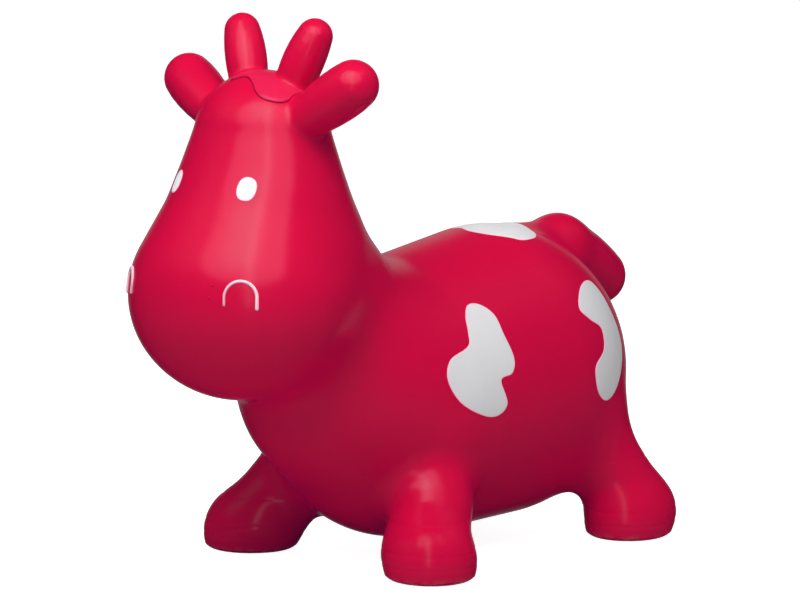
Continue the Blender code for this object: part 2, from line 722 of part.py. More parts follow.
leg_rooms = []
for end, (hip, ankle, foot) in LEGS.items():
    rise = (LEG_SEAM_HEIGHT - ankle.centre[2]) / (hip.centre[2] - ankle.centre[2])
    top = ankle.centre + (hip.centre - ankle.centre) * rise
    slant = np.linalg.norm(hip.centre - ankle.centre) / (hip.centre[2] - ankle.centre[2])
    top_radius = (ankle.radius + (hip.radius - ankle.radius) * rise) * slant + LEG_SEAM_MARGIN
    low = (ankle.centre + foot.centre) / 2
    low_radius = foot.radius + LEG_SEAM_MARGIN
    top_room = top_radius + GAP * slant
    low_room = low_radius + GAP * slant
    for side, sign in SIDES.items():
        name = end + "_" + side
        under = at_height(low, sign, -CUT_OVERRUN)
        foot_top = at_height(low, sign, FOOT_SEAM_HEIGHT - GAP)
        seam = at_height(low, sign, FOOT_SEAM_HEIGHT)
        leg_top = at_height(top, sign, LEG_SEAM_HEIGHT)
        above = at_height(top, sign, LEG_SEAM_HEIGHT + GAP)
        foot_space = column("foot_space_" + name, [(under, low_radius), (foot_top, low_radius)])
        leg_space = column("leg_space_" + name, [(seam, low_radius), (leg_top, top_radius)])
        leg_rooms.append(column("leg_room_" + name, [(under, low_room), (seam, low_room),
                                                     (leg_top, top_room), (above, top_room)]))
        piece("foot_" + name, shell, "crimson_vinyl", ("INTERSECT", foot_space),
              origin=at_height(foot.centre, sign, 0))
        piece("leg_" + name, shell, "crimson_vinyl", ("INTERSECT", leg_space))

# Head and trunk
piece("head_skin", shell, "crimson_vinyl", ("INTERSECT", head_space),
      *[("DIFFERENCE", socket) for socket in head_sockets])
piece("trunk_skin", shell, "crimson_vinyl", ("DIFFERENCE", head_room),
      *[("DIFFERENCE", room) for room in leg_rooms + trunk_sockets + [valve_hole]])

# Marks on the skin
mark_floor = skin_solid("mark_floor", GAP)
paint_layer = cut(skin_solid("paint_layer", GAP + PAINT_THICKNESS), ("DIFFERENCE", mark_floor))
nostril_layer = cut(skin_solid("nostril_layer", GAP + NOSTRIL_RISE), ("DIFFERENCE", mark_floor))
forelock_layer = cut(skin_solid("forelock_layer", GAP + FORELOCK_RISE),
                     ("DIFFERENCE", mark_floor))

face_start = ahead(far)
eye_height = BROW_HEIGHT + EYE_RISE
nostril_height = MUZZLE_HEIGHT + NOSTRIL_ABOVE_MUZZLE
for side, sign in SIDES.items():
    point, facing = skin_hit(np.array((sign * EYE_SIDE, face_start, eye_height)),
                             np.array((0, 1, 0)))
    eye_space = prism("eye_space_" + side, oval(EYE_WIDTH, EYE_LENGTH, sign * EYE_LEAN),
                      frame_along(point, facing), EYE_WIDTH, EYE_WIDTH)
    piece("eye_" + side, paint_layer, "white_paint", ("INTERSECT", eye_space))
    point, facing = skin_hit(np.array((sign * NOSTRIL_SIDE, face_start, nostril_height)),
                             np.array((0, 1, 0)))
    nostril_space = prism("nostril_space_" + side,
                          arch(NOSTRIL_RADIUS, NOSTRIL_STROKE, NOSTRIL_LEG),
                          frame_along(point, facing), NOSTRIL_RADIUS, NOSTRIL_RADIUS)
    piece("nostril_" + side, nostril_layer, "pink_paint", ("INTERSECT", nostril_space))

forelock_frame = Matrix.Translation((FORELOCK_SIDE, ahead(CROWN_AHEAD + FORELOCK_FORWARD),
                                     CROWN_HEIGHT))
forelock_space = prism("forelock_space",
                       smooth_outline(FORELOCK_shares, FORELOCK_WIDTH, FORELOCK_LENGTH),
                       forelock_frame, 0, far)
piece("forelock", forelock_layer, "crimson_vinyl", ("INTERSECT", forelock_space),
      *[("DIFFERENCE", room) for room in forelock_rooms])

flank_outline = smooth_outline(FLANK_PATCH_shares, FLANK_PATCH_LENGTH, FLANK_PATCH_HEIGHT)
rump_outline = smooth_outline(RUMP_PATCH_shares, RUMP_PATCH_LENGTH, RUMP_PATCH_HEIGHT)
flank_spot = (0, ahead(CHEST_AHEAD + FLANK_PATCH_FORWARD), CHEST_HEIGHT + FLANK_PATCH_RISE)
rump_spot = (0, behind(RUMP_BEHIND + RUMP_PATCH_BACK), RUMP_HEIGHT + RUMP_PATCH_RISE)
side_patches = {"patch_flank_left": (flank_outline, flank_spot, 1),
                "patch_rump_left": (rump_outline, rump_spot, 1),
                "patch_flank_right": (rump_outline, flank_spot, -1),
                "patch_rump_right": (flank_outline, rump_spot, -1)}
for name, (outline, spot, sign) in side_patches.items():
    patch_space = prism(name + "_space", outline, frame_along(spot, (sign, 0, 0)), 0, far)
    piece(name, paint_layer, "grey_paint", ("INTERSECT", patch_space))
back_frame = Matrix.Translation((BACK_PATCH_SIDE, behind(RUMP_BEHIND + BACK_PATCH_BACK),
                                 RUMP_HEIGHT))
back_space = prism("patch_back_space",
                   smooth_outline(BACK_PATCH_shares, BACK_PATCH_WIDTH, BACK_PATCH_LENGTH),
                   back_frame, 0, far)
piece("patch_back", paint_layer, "grey_paint", ("INTERSECT", back_space))
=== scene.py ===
# %% [markdown]
# # A bouncy ride-on cow
# The toy is one hollow moulding of soft crimson vinyl, blown up until it is tight. A child sits on
# its back, holds the two horns and hops. Only the stopper of the air valve is a loose piece.
#
# This lesson dresses the imported CAD model of the toy. The CAD cuts the moulding into zones that
# flex against each other. Here the same forms are meshed again as one fine skin without seams,
# which is then cut into the same zones.

# %% Load the frame
from collections import namedtuple
from contextlib import contextmanager
from math import cos, pi, radians, sin, sqrt

import bmesh
import bpy
import numpy as np
from mathutils import Matrix, Vector
from mathutils.geometry import delaunay_2d_cdt


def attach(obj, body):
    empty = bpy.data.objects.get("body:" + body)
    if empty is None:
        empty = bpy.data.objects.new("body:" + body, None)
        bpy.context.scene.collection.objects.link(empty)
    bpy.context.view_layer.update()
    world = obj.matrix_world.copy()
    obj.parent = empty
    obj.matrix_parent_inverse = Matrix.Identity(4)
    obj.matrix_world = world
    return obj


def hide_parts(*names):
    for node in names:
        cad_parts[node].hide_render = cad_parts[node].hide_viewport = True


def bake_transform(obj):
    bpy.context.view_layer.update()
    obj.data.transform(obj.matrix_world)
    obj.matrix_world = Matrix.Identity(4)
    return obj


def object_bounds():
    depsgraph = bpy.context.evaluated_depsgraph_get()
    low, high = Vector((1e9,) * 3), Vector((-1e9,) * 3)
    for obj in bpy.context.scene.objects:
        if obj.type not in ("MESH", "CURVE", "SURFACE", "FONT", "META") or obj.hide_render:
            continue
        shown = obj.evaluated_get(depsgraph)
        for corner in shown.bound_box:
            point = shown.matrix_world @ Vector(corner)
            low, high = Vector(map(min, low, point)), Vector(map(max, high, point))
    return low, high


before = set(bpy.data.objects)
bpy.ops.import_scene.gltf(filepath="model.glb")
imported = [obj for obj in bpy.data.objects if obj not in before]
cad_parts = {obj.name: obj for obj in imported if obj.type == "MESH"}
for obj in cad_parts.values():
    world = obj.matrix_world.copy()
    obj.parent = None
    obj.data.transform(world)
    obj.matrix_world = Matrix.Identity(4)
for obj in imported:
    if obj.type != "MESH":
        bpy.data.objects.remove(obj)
cad_low, cad_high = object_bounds()
print("CAD box in mm:", [round(1000 * size) for size in cad_high - cad_low])

# %% [markdown]
# ## Camera
# The photograph was taken from far away with a long lens: the near foot is hardly larger than the
# far one. A camera four metres away with a long lens gives the same flat perspective. Its place
# was found by laying round forms over the outline in the photograph, together with the forms.

# %% Place the camera
CAMERA_AZIMUTH = radians(42.34)
CAMERA_ELEVATION = radians(8.19)
CAMERA_DISTANCE = 4.0704
CAMERA_TARGET = Vector((0, -0.0022, 0.2132))
CAMERA_LENS = 218.5


def direction_from(azimuth, elevation):
    """Unit vector from the cow towards a place round it: azimuth 0 is in front of its face."""
    return Vector((sin(azimuth) * cos(elevation), -cos(azimuth) * cos(elevation), sin(elevation)))


def new_piece(name, data):
    """An object in the scene that shows a mesh, a lamp or a camera."""
    made = bpy.data.objects.new(name, data)
    bpy.context.collection.objects.link(made)
    return made


def aimed(name, data, centre, azimuth, elevation, distance):
    """A camera or a lamp at a distance from a centre, looking at it."""
    made = new_piece(name, data)
    away = direction_from(azimuth, elevation)
    made.location = centre + away * distance
    made.rotation_mode = "QUATERNION"
    made.rotation_quaternion = away.to_track_quat("Z", "Y")
    return made


camera = aimed("camera", bpy.data.cameras.new("camera"), CAMERA_TARGET, CAMERA_AZIMUTH,
               CAMERA_ELEVATION, CAMERA_DISTANCE)
camera.data.lens = CAMERA_LENS
bpy.context.scene.camera = camera
print("camera at", [round(value, 3) for value in camera.location])

# %% [markdown]
# ## Studio
# Glossy vinyl shows what stands around it. The photograph has a broad soft glow on the face and
# narrow upright stripes on the horns and legs, and hardly any gloss elsewhere. One lamp can't give
# all of that, so each lamp has its own task. Wide lamps on every side only light the vinyl and are
# not mirrored in it. An oval panel is only mirrored, and makes the glow on the face. It is kept off
# the legs, where the photograph shows just the stripe of a tall narrow lamp. The world is white to
# the camera, and faint to reflections except on the side of the backdrop, which gives the outline
# a pale rim.

# %% Set up the lamps
STUDIO_CENTRE = Vector((0, 0, 0.22))
LAMP_COLOUR = (0.96, 0.96, 1.0)
GLOW_COLOUR = (1.0, 0.72, 0.95)
# Each lamp's azimuth, elevation, distance, size and power, whether it lights, and is mirrored.
LAMPS = {"front_softbox": (22, 51, 1.5, (0.75, 0.8), 15.6, True, False),
         "glow_panel": (30, 43, 1.1, (1.6, 0.92), 10.6, False, True),
         "strip_softbox": (37, 30, 2.4, (0.34, 3.2), 6.2, True, True),
         "left_softbox": (-35, 40, 1.8, (0.9, 0.9), 4.6, True, False),
         "right_softbox": (85, 55, 1.8, (0.7, 0.7), 10.6, True, False),
         "rear_softbox": (-145, 20, 1.8, (0.9, 0.9), 6, True, False),
         "back_softbox": (145, 50, 1.8, (0.9, 0.9), 2.4, True, False)}

for name, (azimuth, elevation, distance, size, power, lights, mirrored) in LAMPS.items():
    lamp = bpy.data.lights.new(name, "AREA")
    lamp.shape = "RECTANGLE"
    lamp.size, lamp.size_y = size
    lamp.energy = power
    lamp.color = LAMP_COLOUR
    holder = aimed(name, lamp, STUDIO_CENTRE, radians(azimuth), radians(elevation), distance)
    holder.visible_diffuse = lights
    holder.visible_glossy = mirrored
glow_panel = bpy.data.objects["glow_panel"]
glow_panel.data.shape = "ELLIPSE"
glow_panel.data.color = GLOW_COLOUR
print("lamps:", len(LAMPS))

# %% Wire up nodes
def add_node(tree, kind, inputs=(), **settings):
    """A node's outputs. Its inputs, by order or by name, are linked to sockets or set."""
    made = tree.nodes.new(kind)
    for label, value in settings.items():
        setattr(made, label, value)
    named = inputs if isinstance(inputs, dict) else dict(enumerate(inputs))
    for label, value in named.items():
        socket = made.inputs[label]
        if isinstance(value, bpy.types.NodeSocket):
            tree.links.new(value, socket)
        else:
            socket.default_value = (*value, 1) if socket.type == "RGBA" else value
    return made.outputs


def arithmetic(tree, operation, *values, clamp=False):
    """A math node; each value is a number or a socket."""
    return add_node(tree, "ShaderNodeMath", values, operation=operation,
                    use_clamp=clamp)["Value"]


def ramp(tree, value, low, high, start=0, end=1):
    """A smooth step of a value from low to high."""
    return add_node(tree, "ShaderNodeMapRange",
                    {"Value": value, "From Min": low, "From Max": high, "To Min": start,
                     "To Max": end}, interpolation_type="SMOOTHSTEP")["Result"]


print("node helpers ready")

# %% Light the world
AMBIENT_COLOUR = (0.80, 0.84, 1.0)
AMBIENT_STRENGTH = 0.24
ROOM_REFLECTION = 0.004
RIM_STRENGTH = 0.35
BACKDROP_EDGE = (0.86, 0.98)

world = bpy.data.worlds.new("white_studio")
bpy.context.scene.world = world
world.use_nodes = True
sky = world.node_tree
sky.nodes.clear()
rays = add_node(sky, "ShaderNodeLightPath")
look = add_node(sky, "ShaderNodeTexCoord")["Generated"]
towards_backdrop = add_node(sky, "ShaderNodeVectorMath",
                            (look, -direction_from(CAMERA_AZIMUTH, 0)),
                            operation="DOT_PRODUCT")["Value"]
backdrop = ramp(sky, towards_backdrop, *BACKDROP_EDGE, ROOM_REFLECTION, RIM_STRENGTH)
ambient = add_node(sky, "ShaderNodeBackground", (AMBIENT_COLOUR, AMBIENT_STRENGTH))[0]
mirrored = add_node(sky, "ShaderNodeBackground", {"Strength": backdrop})[0]
white = add_node(sky, "ShaderNodeBackground", {"Strength": 1})[0]
mirrored_share = arithmetic(sky, "MAXIMUM", rays["Is Glossy Ray"], rays["Is Transmission Ray"])
unseen = add_node(sky, "ShaderNodeMixShader", (mirrored_share, ambient, mirrored))[0]
seen = add_node(sky, "ShaderNodeMixShader", (rays["Is Camera Ray"], unseen, white))[0]
add_node(sky, "ShaderNodeOutputWorld", (seen,))
bpy.context.scene.view_settings.view_transform = "Standard"
print("world:", len(sky.nodes), "nodes")

# %% [markdown]
# The floor is a large pale sheet. A diffuse sheet lit by soft lamps is never quite white, so
# plain light is added to what the camera sees of it. The vinyl doesn't mirror the floor. The
# shadow under the cow stays, because the diffuse part still takes it.

# %% Lay the floor
FLOOR_REACH = 12.0
FLOOR_COLOUR = (0.62, 0.62, 0.62)
FLOOR_GLOW = 0.93

floor_mesh = bpy.data.meshes.new("floor")
corners = [(-FLOOR_REACH, -FLOOR_REACH, 0), (FLOOR_REACH, -FLOOR_REACH, 0),
           (FLOOR_REACH, FLOOR_REACH, 0), (-FLOOR_REACH, FLOOR_REACH, 0)]
floor_mesh.from_pydata(corners, [], [(0, 1, 2, 3)])
floor = new_piece("floor", floor_mesh)
floor.visible_glossy = False
paper = bpy.data.materials.new("pale_floor")
paper.use_nodes = True
sheet = paper.node_tree
sheet.nodes.clear()
rays = add_node(sheet, "ShaderNodeLightPath")
matt = add_node(sheet, "ShaderNodeBsdfDiffuse", (FLOOR_COLOUR,))[0]
glow = add_node(sheet, "ShaderNodeEmission", {"Strength": FLOOR_GLOW})[0]
both = add_node(sheet, "ShaderNodeAddShader", (matt, glow))[0]
seen_share = arithmetic(sheet, "MAXIMUM", rays["Is Camera Ray"], rays["Is Transmission Ray"])
seen = add_node(sheet, "ShaderNodeMixShader", (seen_share, matt, both))[0]
add_node(sheet, "ShaderNodeOutputMaterial", (seen,))
floor_mesh.materials.append(paper)
print("floor", 2 * FLOOR_REACH, "m wide")

# %% [markdown]
# ## The form of the skin
# Air presses the vinyl into round forms that run into each other. Such a body is hard to push
# together from a grid of faces, and easy to say as a distance: every part of the animal is a skin
# stretched over two balls, and two parts are joined by the lesser of their distances, with a
# fillet where both are alike. Where the distance is zero lies the surface. The sizes repeat those
# of the CAD source, so the fine skin lies on the CAD's.

# %% Name the balls
Ball = namedtuple("Ball", "centre radius")
TRUNK_WIDTH_SHARE = 0.93
HEAD_WIDTH_SHARE = 1.13
BROW_BLEND = 0.016
NECK_BLEND = 0.029
CHIN_BLEND = 0.0355
FOOT_BLEND = 0.012
HIP_BLENDS = {"front": 0.021, "rear": 0.030}
TAIL_BLEND = 0.015
TAIL_BEND_BLEND = 0.008
LIMB_BLEND = 0.005
LIMB_PARTS = 6
LIMB_MARGIN = 0.022
MIDDLE_AHEAD = 0.05155


def ball(side, ahead, height, radius):
    """A ball at a distance ahead of the middle between the feet."""
    return Ball(np.array((side, MIDDLE_AHEAD - ahead, height)), radius)


chest = ball(0, 0.060, 0.132, 0.1175)
rump = ball(0, -0.056, 0.142, 0.125)
muzzle = ball(0, 0.246, 0.2375, 0.085)
brow = ball(0, 0.221, 0.3205, 0.060)
crown = ball(0, 0.219, 0.3655, 0.052)
neck_top = ball(0, 0.193, 0.254, 0.0715)
neck_base = ball(0, 0.121, 0.159, 0.081)
brisket = ball(0, 0.145, 0.1475, 0.068)
LEGS = {"front": (ball(0.0790, 0.1020, 0.057, 0.0345), ball(0.0965, 0.1275, 0.0205, 0.0345),
                  ball(0.1045, 0.1305, 0.014, 0.0374)),
        "rear": (ball(0.0765, -0.106, 0.093, 0.0266), ball(0.099, -0.134, 0.0205, 0.0345),
                 ball(0.101, -0.1245, 0.014, 0.0365))}
tail_bump = ball(0, -0.097, 0.240, 0.021)
tail_root = ball(0, -0.149, 0.237, 0.029)
tail_middle = ball(0, -0.1765, 0.2235, 0.0283)
tail_tip = ball(0, -0.2027, 0.208, 0.0252)
SIDES = {"left": 1, "right": -1}
HORNS = {side: (ball(sign * 0.0243, 0.209, 0.4056, 0.0152),
                ball(sign * 0.0323, 0.2045, 0.4270, 0.0171),
                ball(sign * 0.0406, 0.200, 0.4468, 0.0147)) for side, sign in SIDES.items()}
EARS = {"left": (ball(0.038, 0.223, 0.375, 0.0148), ball(0.0722, 0.2176, 0.3966, 0.0209),
                 ball(0.0957, 0.214, 0.4118, 0.0208)),
        "right": (ball(-0.038, 0.223, 0.375, 0.0148), ball(-0.0722, 0.2128, 0.3924, 0.0209),
                  ball(-0.0957, 0.206, 0.4048, 0.0208))}
print("from muzzle to tail", round(float(tail_tip.centre[1] - muzzle.centre[1]), 3), "m")

# %% Blend the forms
def round_cone(points, first, last):
    """Distance to the skin stretched over two balls."""
    axis = last.centre - first.centre
    length = np.linalg.norm(axis)
    taper = (first.radius - last.radius) / length
    if abs(taper) >= 1:
        larger = max(first, last, key=lambda each: each.radius)
        return np.linalg.norm(points - larger.centre, axis=-1) - larger.radius
    offset = points - first.centre
    along = offset @ (axis / length)
    away = np.sqrt(np.maximum((offset ** 2).sum(-1) - along ** 2, 0))
    nearest = np.clip(along - taper * away / sqrt(1 - taper ** 2), 0, length)
    return np.hypot(away, along - nearest) - (first.radius - taper * nearest)


def blended(first, second, width):
    """The lesser of two distances, with a fillet where they are alike."""
    overlap = np.maximum(width - np.abs(first - second), 0) / width
    return np.minimum(first, second) - overlap ** 2 * width / 4


def legs_form(points, end):
    """Distance to the two legs at one end of the cow."""
    hip, ankle, foot = LEGS[end]
    mirrored_points = np.abs(points * (1, 0, 0)) + points * (0, 1, 1)
    return blended(round_cone(mirrored_points, hip, ankle),
                   round_cone(mirrored_points, ankle, foot), FOOT_BLEND)


def swelled_limb(points, root, middle, tip):
    """Distance to a limb whose line and thickness run smoothly through three balls."""
    reach = LIMB_MARGIN + max(np.linalg.norm(end.centre - middle.centre) + end.radius
                              for end in (root, tip))
    distance = np.linalg.norm(points - middle.centre, axis=-1) - reach + LIMB_MARGIN
    near = distance < LIMB_MARGIN
    balls = []
    for share in np.linspace(0, 1, LIMB_PARTS + 1):
        weights = ((1 - share) * (1 - 2 * share), 4 * share * (1 - share),
                   share * (2 * share - 1))
        balls.append(Ball(*(sum(weight * value for weight, value in zip(weights, values))
                            for values in zip(root, middle, tip))))
    distance[near] = np.min([round_cone(points[near], first, last)
                             for first, last in zip(balls, balls[1:])], axis=0)
    return distance


def body_form(points):
    """Distance to the cow without its horns and ears."""
    trunk = round_cone(points / np.array((TRUNK_WIDTH_SHARE, 1, 1)), chest, rump)
    head_points = points / np.array((HEAD_WIDTH_SHARE, 1, 1))
    head = blended(round_cone(head_points, crown, brow),
                   round_cone(head_points, brow, muzzle), BROW_BLEND)
    form = blended(trunk, round_cone(points, neck_top, neck_base), NECK_BLEND)
    form = blended(form, round_cone(points, brisket, neck_base), NECK_BLEND)
    form = blended(form, head, CHIN_BLEND)
    for end in LEGS:
        form = blended(form, legs_form(points, end), HIP_BLENDS[end])
    tail = blended(round_cone(points, tail_bump, tail_root),
                   swelled_limb(points, tail_root, tail_middle, tail_tip), TAIL_BEND_BLEND)
    return blended(form, tail, TAIL_BLEND)


print("the chest's centre lies", round(float(-body_form(chest.centre[None])[0]), 3), "m deep")

# %% [markdown]
# Small relief is added to the distance itself, so it needs no faces of its own: shallow bands that
# the mould left round the legs. They show mostly where they break the highlight.

# %% Add the mould's small relief
BAND_HEIGHTS = {"front": (0.0140, 0.0250, 0.0470), "rear": (0.0140, 0.0250, 0.0690)}
BAND_DEPTH = 0.00028
BAND_HALF_WIDTH = 0.0013
BAND_FADE = 0.008


def relief(points, form):
    """How far the skin lies below its plain round form."""
    depth = np.zeros(points.shape[:-1])
    for end, heights in BAND_HEIGHTS.items():
        own_share = np.clip(1 - (legs_form(points, end) - form) / BAND_FADE, 0, 1)
        for height in heights:
            across = (points[..., 2] - height) / BAND_HALF_WIDTH
            depth += BAND_DEPTH * own_share * np.exp(-across ** 2)
    return depth


def with_horns_and_ears(points, form):
    """A form with the horns and ears joined on; each swells a little halfway along."""
    for root, middle, tip in (*EARS.values(), *HORNS.values()):
        form = blended(form, swelled_limb(points, root, middle, tip), LIMB_BLEND)
    return form


def smooth_form(points):
    """Distance to the whole moulding without its relief."""
    return with_horns_and_ears(points, body_form(points))


def skin_form(points):
    """Distance to the whole moulding: body, horns and ears, with its relief."""
    form = body_form(points)
    return with_horns_and_ears(points, form + relief(points, form))


print("bands at", sorted({height for ends in BAND_HEIGHTS.values() for height in ends}), "m")

# %% Follow the form's slope
SLOPE_STEP = 0.0003
CORNERS = np.array(((1, 1, 1), (1, -1, -1), (-1, 1, -1), (-1, -1, 1)))
BATCH = 4096


def level_and_slope(form, points):
    """A form's distance and slope at each point, from the four corners of a tiny tetrahedron."""
    levels = np.zeros(len(points))
    slopes = np.zeros(points.shape)
    for start in range(0, len(points), BATCH):
        batch = points[start:start + BATCH]
        values = form(batch[:, None] + CORNERS * SLOPE_STEP)
        levels[start:start + BATCH] = values.mean(1)
        slopes[start:start + BATCH] = values @ CORNERS / (4 * SLOPE_STEP)
    return levels, slopes


def outward(form, points):
    """Unit vectors that point out of a form."""
    _, direction = level_and_slope(form, points)
    return direction / np.linalg.norm(direction, axis=-1, keepdims=True)


def onto(form, points, rounds=2):
    """Points moved along the slope to a form's surface."""
    for _ in range(rounds):
        level, rate = level_and_slope(form, points)
        points = points - rate * (level / (rate ** 2).sum(-1))[:, None]
    return points


seat = onto(smooth_form, np.array([(0, 0, rump.centre[2] + rump.radius)]))[0]
print("the seat is", round(float(seat[2]), 3), "m high")

# %% [markdown]
# ## From a form to a mesh
# A grid of points is laid through the cow. Every grid cell that the surface crosses gets one
# point, and the points of neighbouring cells make quads. That is a surface net. It is all quads,
# so one round of Subdivision Surface makes it smooth, and every new point is laid on the form
# again. Settling the points by turns towards their neighbours and back onto the skin keeps the
# quads even.

# %% Lay a net round a form
CELL = 0.0056
SEARCH_STEP = CELL / 8


def without_pinches(inside):
    """Fill the grid corners between which the net would touch itself along an edge."""
    pinched = True
    while pinched:
        pinched = False
        for first, second in ((0, 1), (1, 2), (2, 0)):
            across = np.roll(inside, -1, first)
            above = np.roll(inside, -1, second)
            opposite = np.roll(across, -1, second)
            checkered = (inside == opposite) & (across == above) & (inside != across)
            pinched = pinched or checkered.any()
            wider = checkered | np.roll(checkered, 1, first)
            inside = inside | wider | np.roll(wider, 1, second)
    return inside


def surface_net(form, low, high):
    """Points and quads of a closed net round a form."""
    counts = np.ceil((high - low) / CELL).astype(int) + 1
    axes = [start + CELL * np.arange(count) for start, count in zip(low, counts)]
    levels = []
    for x in axes[0]:
        sheet = np.stack(np.meshgrid([x], axes[1], axes[2], indexing="ij"), -1)
        levels.append(form(sheet)[0])
    inside = without_pinches(np.stack(levels) < 0)
    cells = {}
    quads = []
    for axis in range(3):
        side = np.eye(3, dtype=int)[(axis + 1) % 3]
        up = np.eye(3, dtype=int)[(axis + 2) % 3]
        for corner in np.argwhere(np.diff(inside.astype(int), axis=axis)):
            ring = [corner - side - up, corner - up, corner, corner - side]
            if not inside[tuple(corner)]:
                ring.reverse()
            quads.append([cells.setdefault(tuple(cell), len(cells)) for cell in ring])
    return low + (np.array(list(cells)) + 0.5) * CELL, np.array(quads)


print("the net's cells are", CELL, "m wide")

# %% Settle and refine a net
SETTLING_ROUNDS = 5


def settled(form, points, quads):
    """The net's points spread evenly and laid on the form."""
    pairs = np.vstack([quads[:, (i, (i + 1) % 4)] for i in range(4)])
    pairs = np.unique(np.sort(pairs, axis=1), axis=0)
    neighbours = np.bincount(pairs.ravel(), minlength=len(points))[:, None]
    for _ in range(SETTLING_ROUNDS):
        total = np.zeros_like(points)
        np.add.at(total, pairs[:, 0], points[pairs[:, 1]])
        np.add.at(total, pairs[:, 1], points[pairs[:, 0]])
        points = onto(form, (points + total / neighbours) / 2, rounds=1)
    return points


def values_of(items, label, width=1, kind=np.float32):
    """One property of a mesh's points, corners or faces, as an array."""
    values = np.zeros(len(items) * width, kind)
    items.foreach_get(label, values)
    return values.reshape(-1, width) if width > 1 else values


def points_of(mesh):
    """A mesh's points as an array."""
    return values_of(mesh.vertices, "co", 3).astype(float)


def with_modifiers_applied(made):
    """The object with its modifiers made part of its mesh."""
    graph = bpy.context.evaluated_depsgraph_get()
    mesh = bpy.data.meshes.new_from_object(made.evaluated_get(graph))
    made.modifiers.clear()
    made.data = mesh
    return made


def refined(made, form):
    """Each quad split in four and the points laid on the form."""
    modifier = made.modifiers.new("finer", "SUBSURF")
    modifier.levels = 1
    modifier.render_levels = 1
    with_modifiers_applied(made)
    points = onto(form, points_of(made.data))
    made.data.vertices.foreach_set("co", points.astype(np.float32).ravel())
    made.data.update()
    return made


print("a net settles in", SETTLING_ROUNDS, "rounds")

# %% Mesh the whole skin
reach = 2 * CELL
net_low = np.array(cad_low) - reach - np.array((0, 0, FOOT_BLEND + LEGS["front"][2].radius))
net_high = np.array(cad_high) + reach
net_points, net_quads = surface_net(smooth_form, net_low, net_high)
net_points = settled(smooth_form, net_points, net_quads)
net_mesh = bpy.data.meshes.new("cow_skin")
net_mesh.from_pydata(net_points.tolist(), [], net_quads.tolist())
cow_skin = refined(new_piece("cow_skin", net_mesh), skin_form)
print("skin net:", len(net_quads), "quads, refined to", len(cow_skin.data.polygons))

# %% [markdown]
# ## Zones of the skin
# The CAD lets the feet press up, the horns and ears bend and the tail lift. The fine skin is cut
# into the same zones. At rest a cut can't be seen, because the points on both sides are the same
# and take their shading normals from the form itself.

# %% Name the zones
Zone = namedtuple("Zone", "body place direction reach bend nodes")
LIMB_CUT_OUT = 0.0045
HORN_REACH = 0.028
EAR_REACH = 0.031
LEG_REACH = 0.056
TAIL_REACH = 0.092
LIMB_BEND = 0.016
LEG_BEND = 0.0255
TAIL_BEND = 0.021
LEG_CUT_SHARES = {"front": 0.25, "rear": 0.60}
LEG_CUT_UPRIGHT = {"front": 1.35, "rear": 1.0}
TAIL_CREASE = np.array((0, 0.2219, 0.1925))
TAIL_CUT_DIRECTION = np.array((0, 0.695, 0.719))


def unit(vector):
    return vector / np.linalg.norm(vector)


def leaves_body(first, last):
    """Where the line from a limb's tip to its root meets the body, and the way out along it."""
    way_out = unit(last.centre - first.centre)
    start = last.centre + way_out * last.radius
    steps = np.arange(0, 4 * last.radius + np.linalg.norm(last.centre - first.centre), SEARCH_STEP)
    line = start - steps[:, None] * way_out
    return line[int(np.argmax(body_form(line) < 0))], way_out


zones = {}
for side, sign in SIDES.items():
    for kind, limbs, cut_reach in (("horn", HORNS, HORN_REACH), ("ear", EARS, EAR_REACH)):
        place, way_out = leaves_body(limbs[side][0], limbs[side][-1])
        zones[kind + "_" + side] = Zone(side + "_" + kind, place + way_out * LIMB_CUT_OUT, way_out,
                                        cut_reach, LIMB_BEND, [kind + "_" + side])
    for end, (hip, ankle, foot) in LEGS.items():
        mirror = np.array((sign, 1, 1))
        way_out = unit((foot.centre - hip.centre) * (1, 1, LEG_CUT_UPRIGHT[end]))
        place = hip.centre + (foot.centre - hip.centre) * LEG_CUT_SHARES[end]
        name = end + "_" + side
        zones["leg_" + name] = Zone("feet", place * mirror, way_out * mirror, LEG_REACH, LEG_BEND,
                                    ["leg_" + name, "foot_" + name])
zones["tail"] = Zone("tail_stub", TAIL_CREASE, unit(TAIL_CUT_DIRECTION), TAIL_REACH, TAIL_BEND,
                     ["tail"])
print("zones:", ", ".join(zones))

# %% Cut the skin into zones
@contextmanager
def opened(mesh):
    """A mesh opened for editing as a bmesh, and written back when the work is done."""
    editable = bmesh.new()
    editable.from_mesh(mesh)
    yield editable
    editable.to_mesh(mesh)
    editable.free()


def boundary_loops(mesh):
    """The open edges of a bmesh, each loop as its points in the order of its faces."""
    following = {}
    for edge in mesh.edges:
        if len(edge.link_faces) == 1:
            corner = edge.link_loops[0]
            following.setdefault(corner.vert, []).append(corner.link_loop_next.vert)
    loops = []
    while following:
        loop = [next(iter(following))]
        while loop[-1] is not loop[0] or len(loop) == 1:
            ways_on = following[loop[-1]]
            loop.append(ways_on.pop())
            if not ways_on:
                del following[loop[-2]]
        loops.append(loop[:-1])
    return loops


def cap(mesh, loop, centre=None):
    """Close a loop with a fan of triangles round one point."""
    if centre is None:
        centre = sum((vert.co for vert in loop), Vector()) / len(loop)
    middle = mesh.verts.new(centre)
    for vert, following in zip(loop, loop[1:] + loop[:1]):
        mesh.faces.new((following, vert, middle))


def in_zone(points, zone):
    """Which points lie beyond the zone's cut and near its axis."""
    offset = points - zone.place
    along = offset @ zone.direction
    away = np.linalg.norm(offset - along[:, None] * zone.direction, axis=-1)
    return (along > 0) & (away < zone.reach)


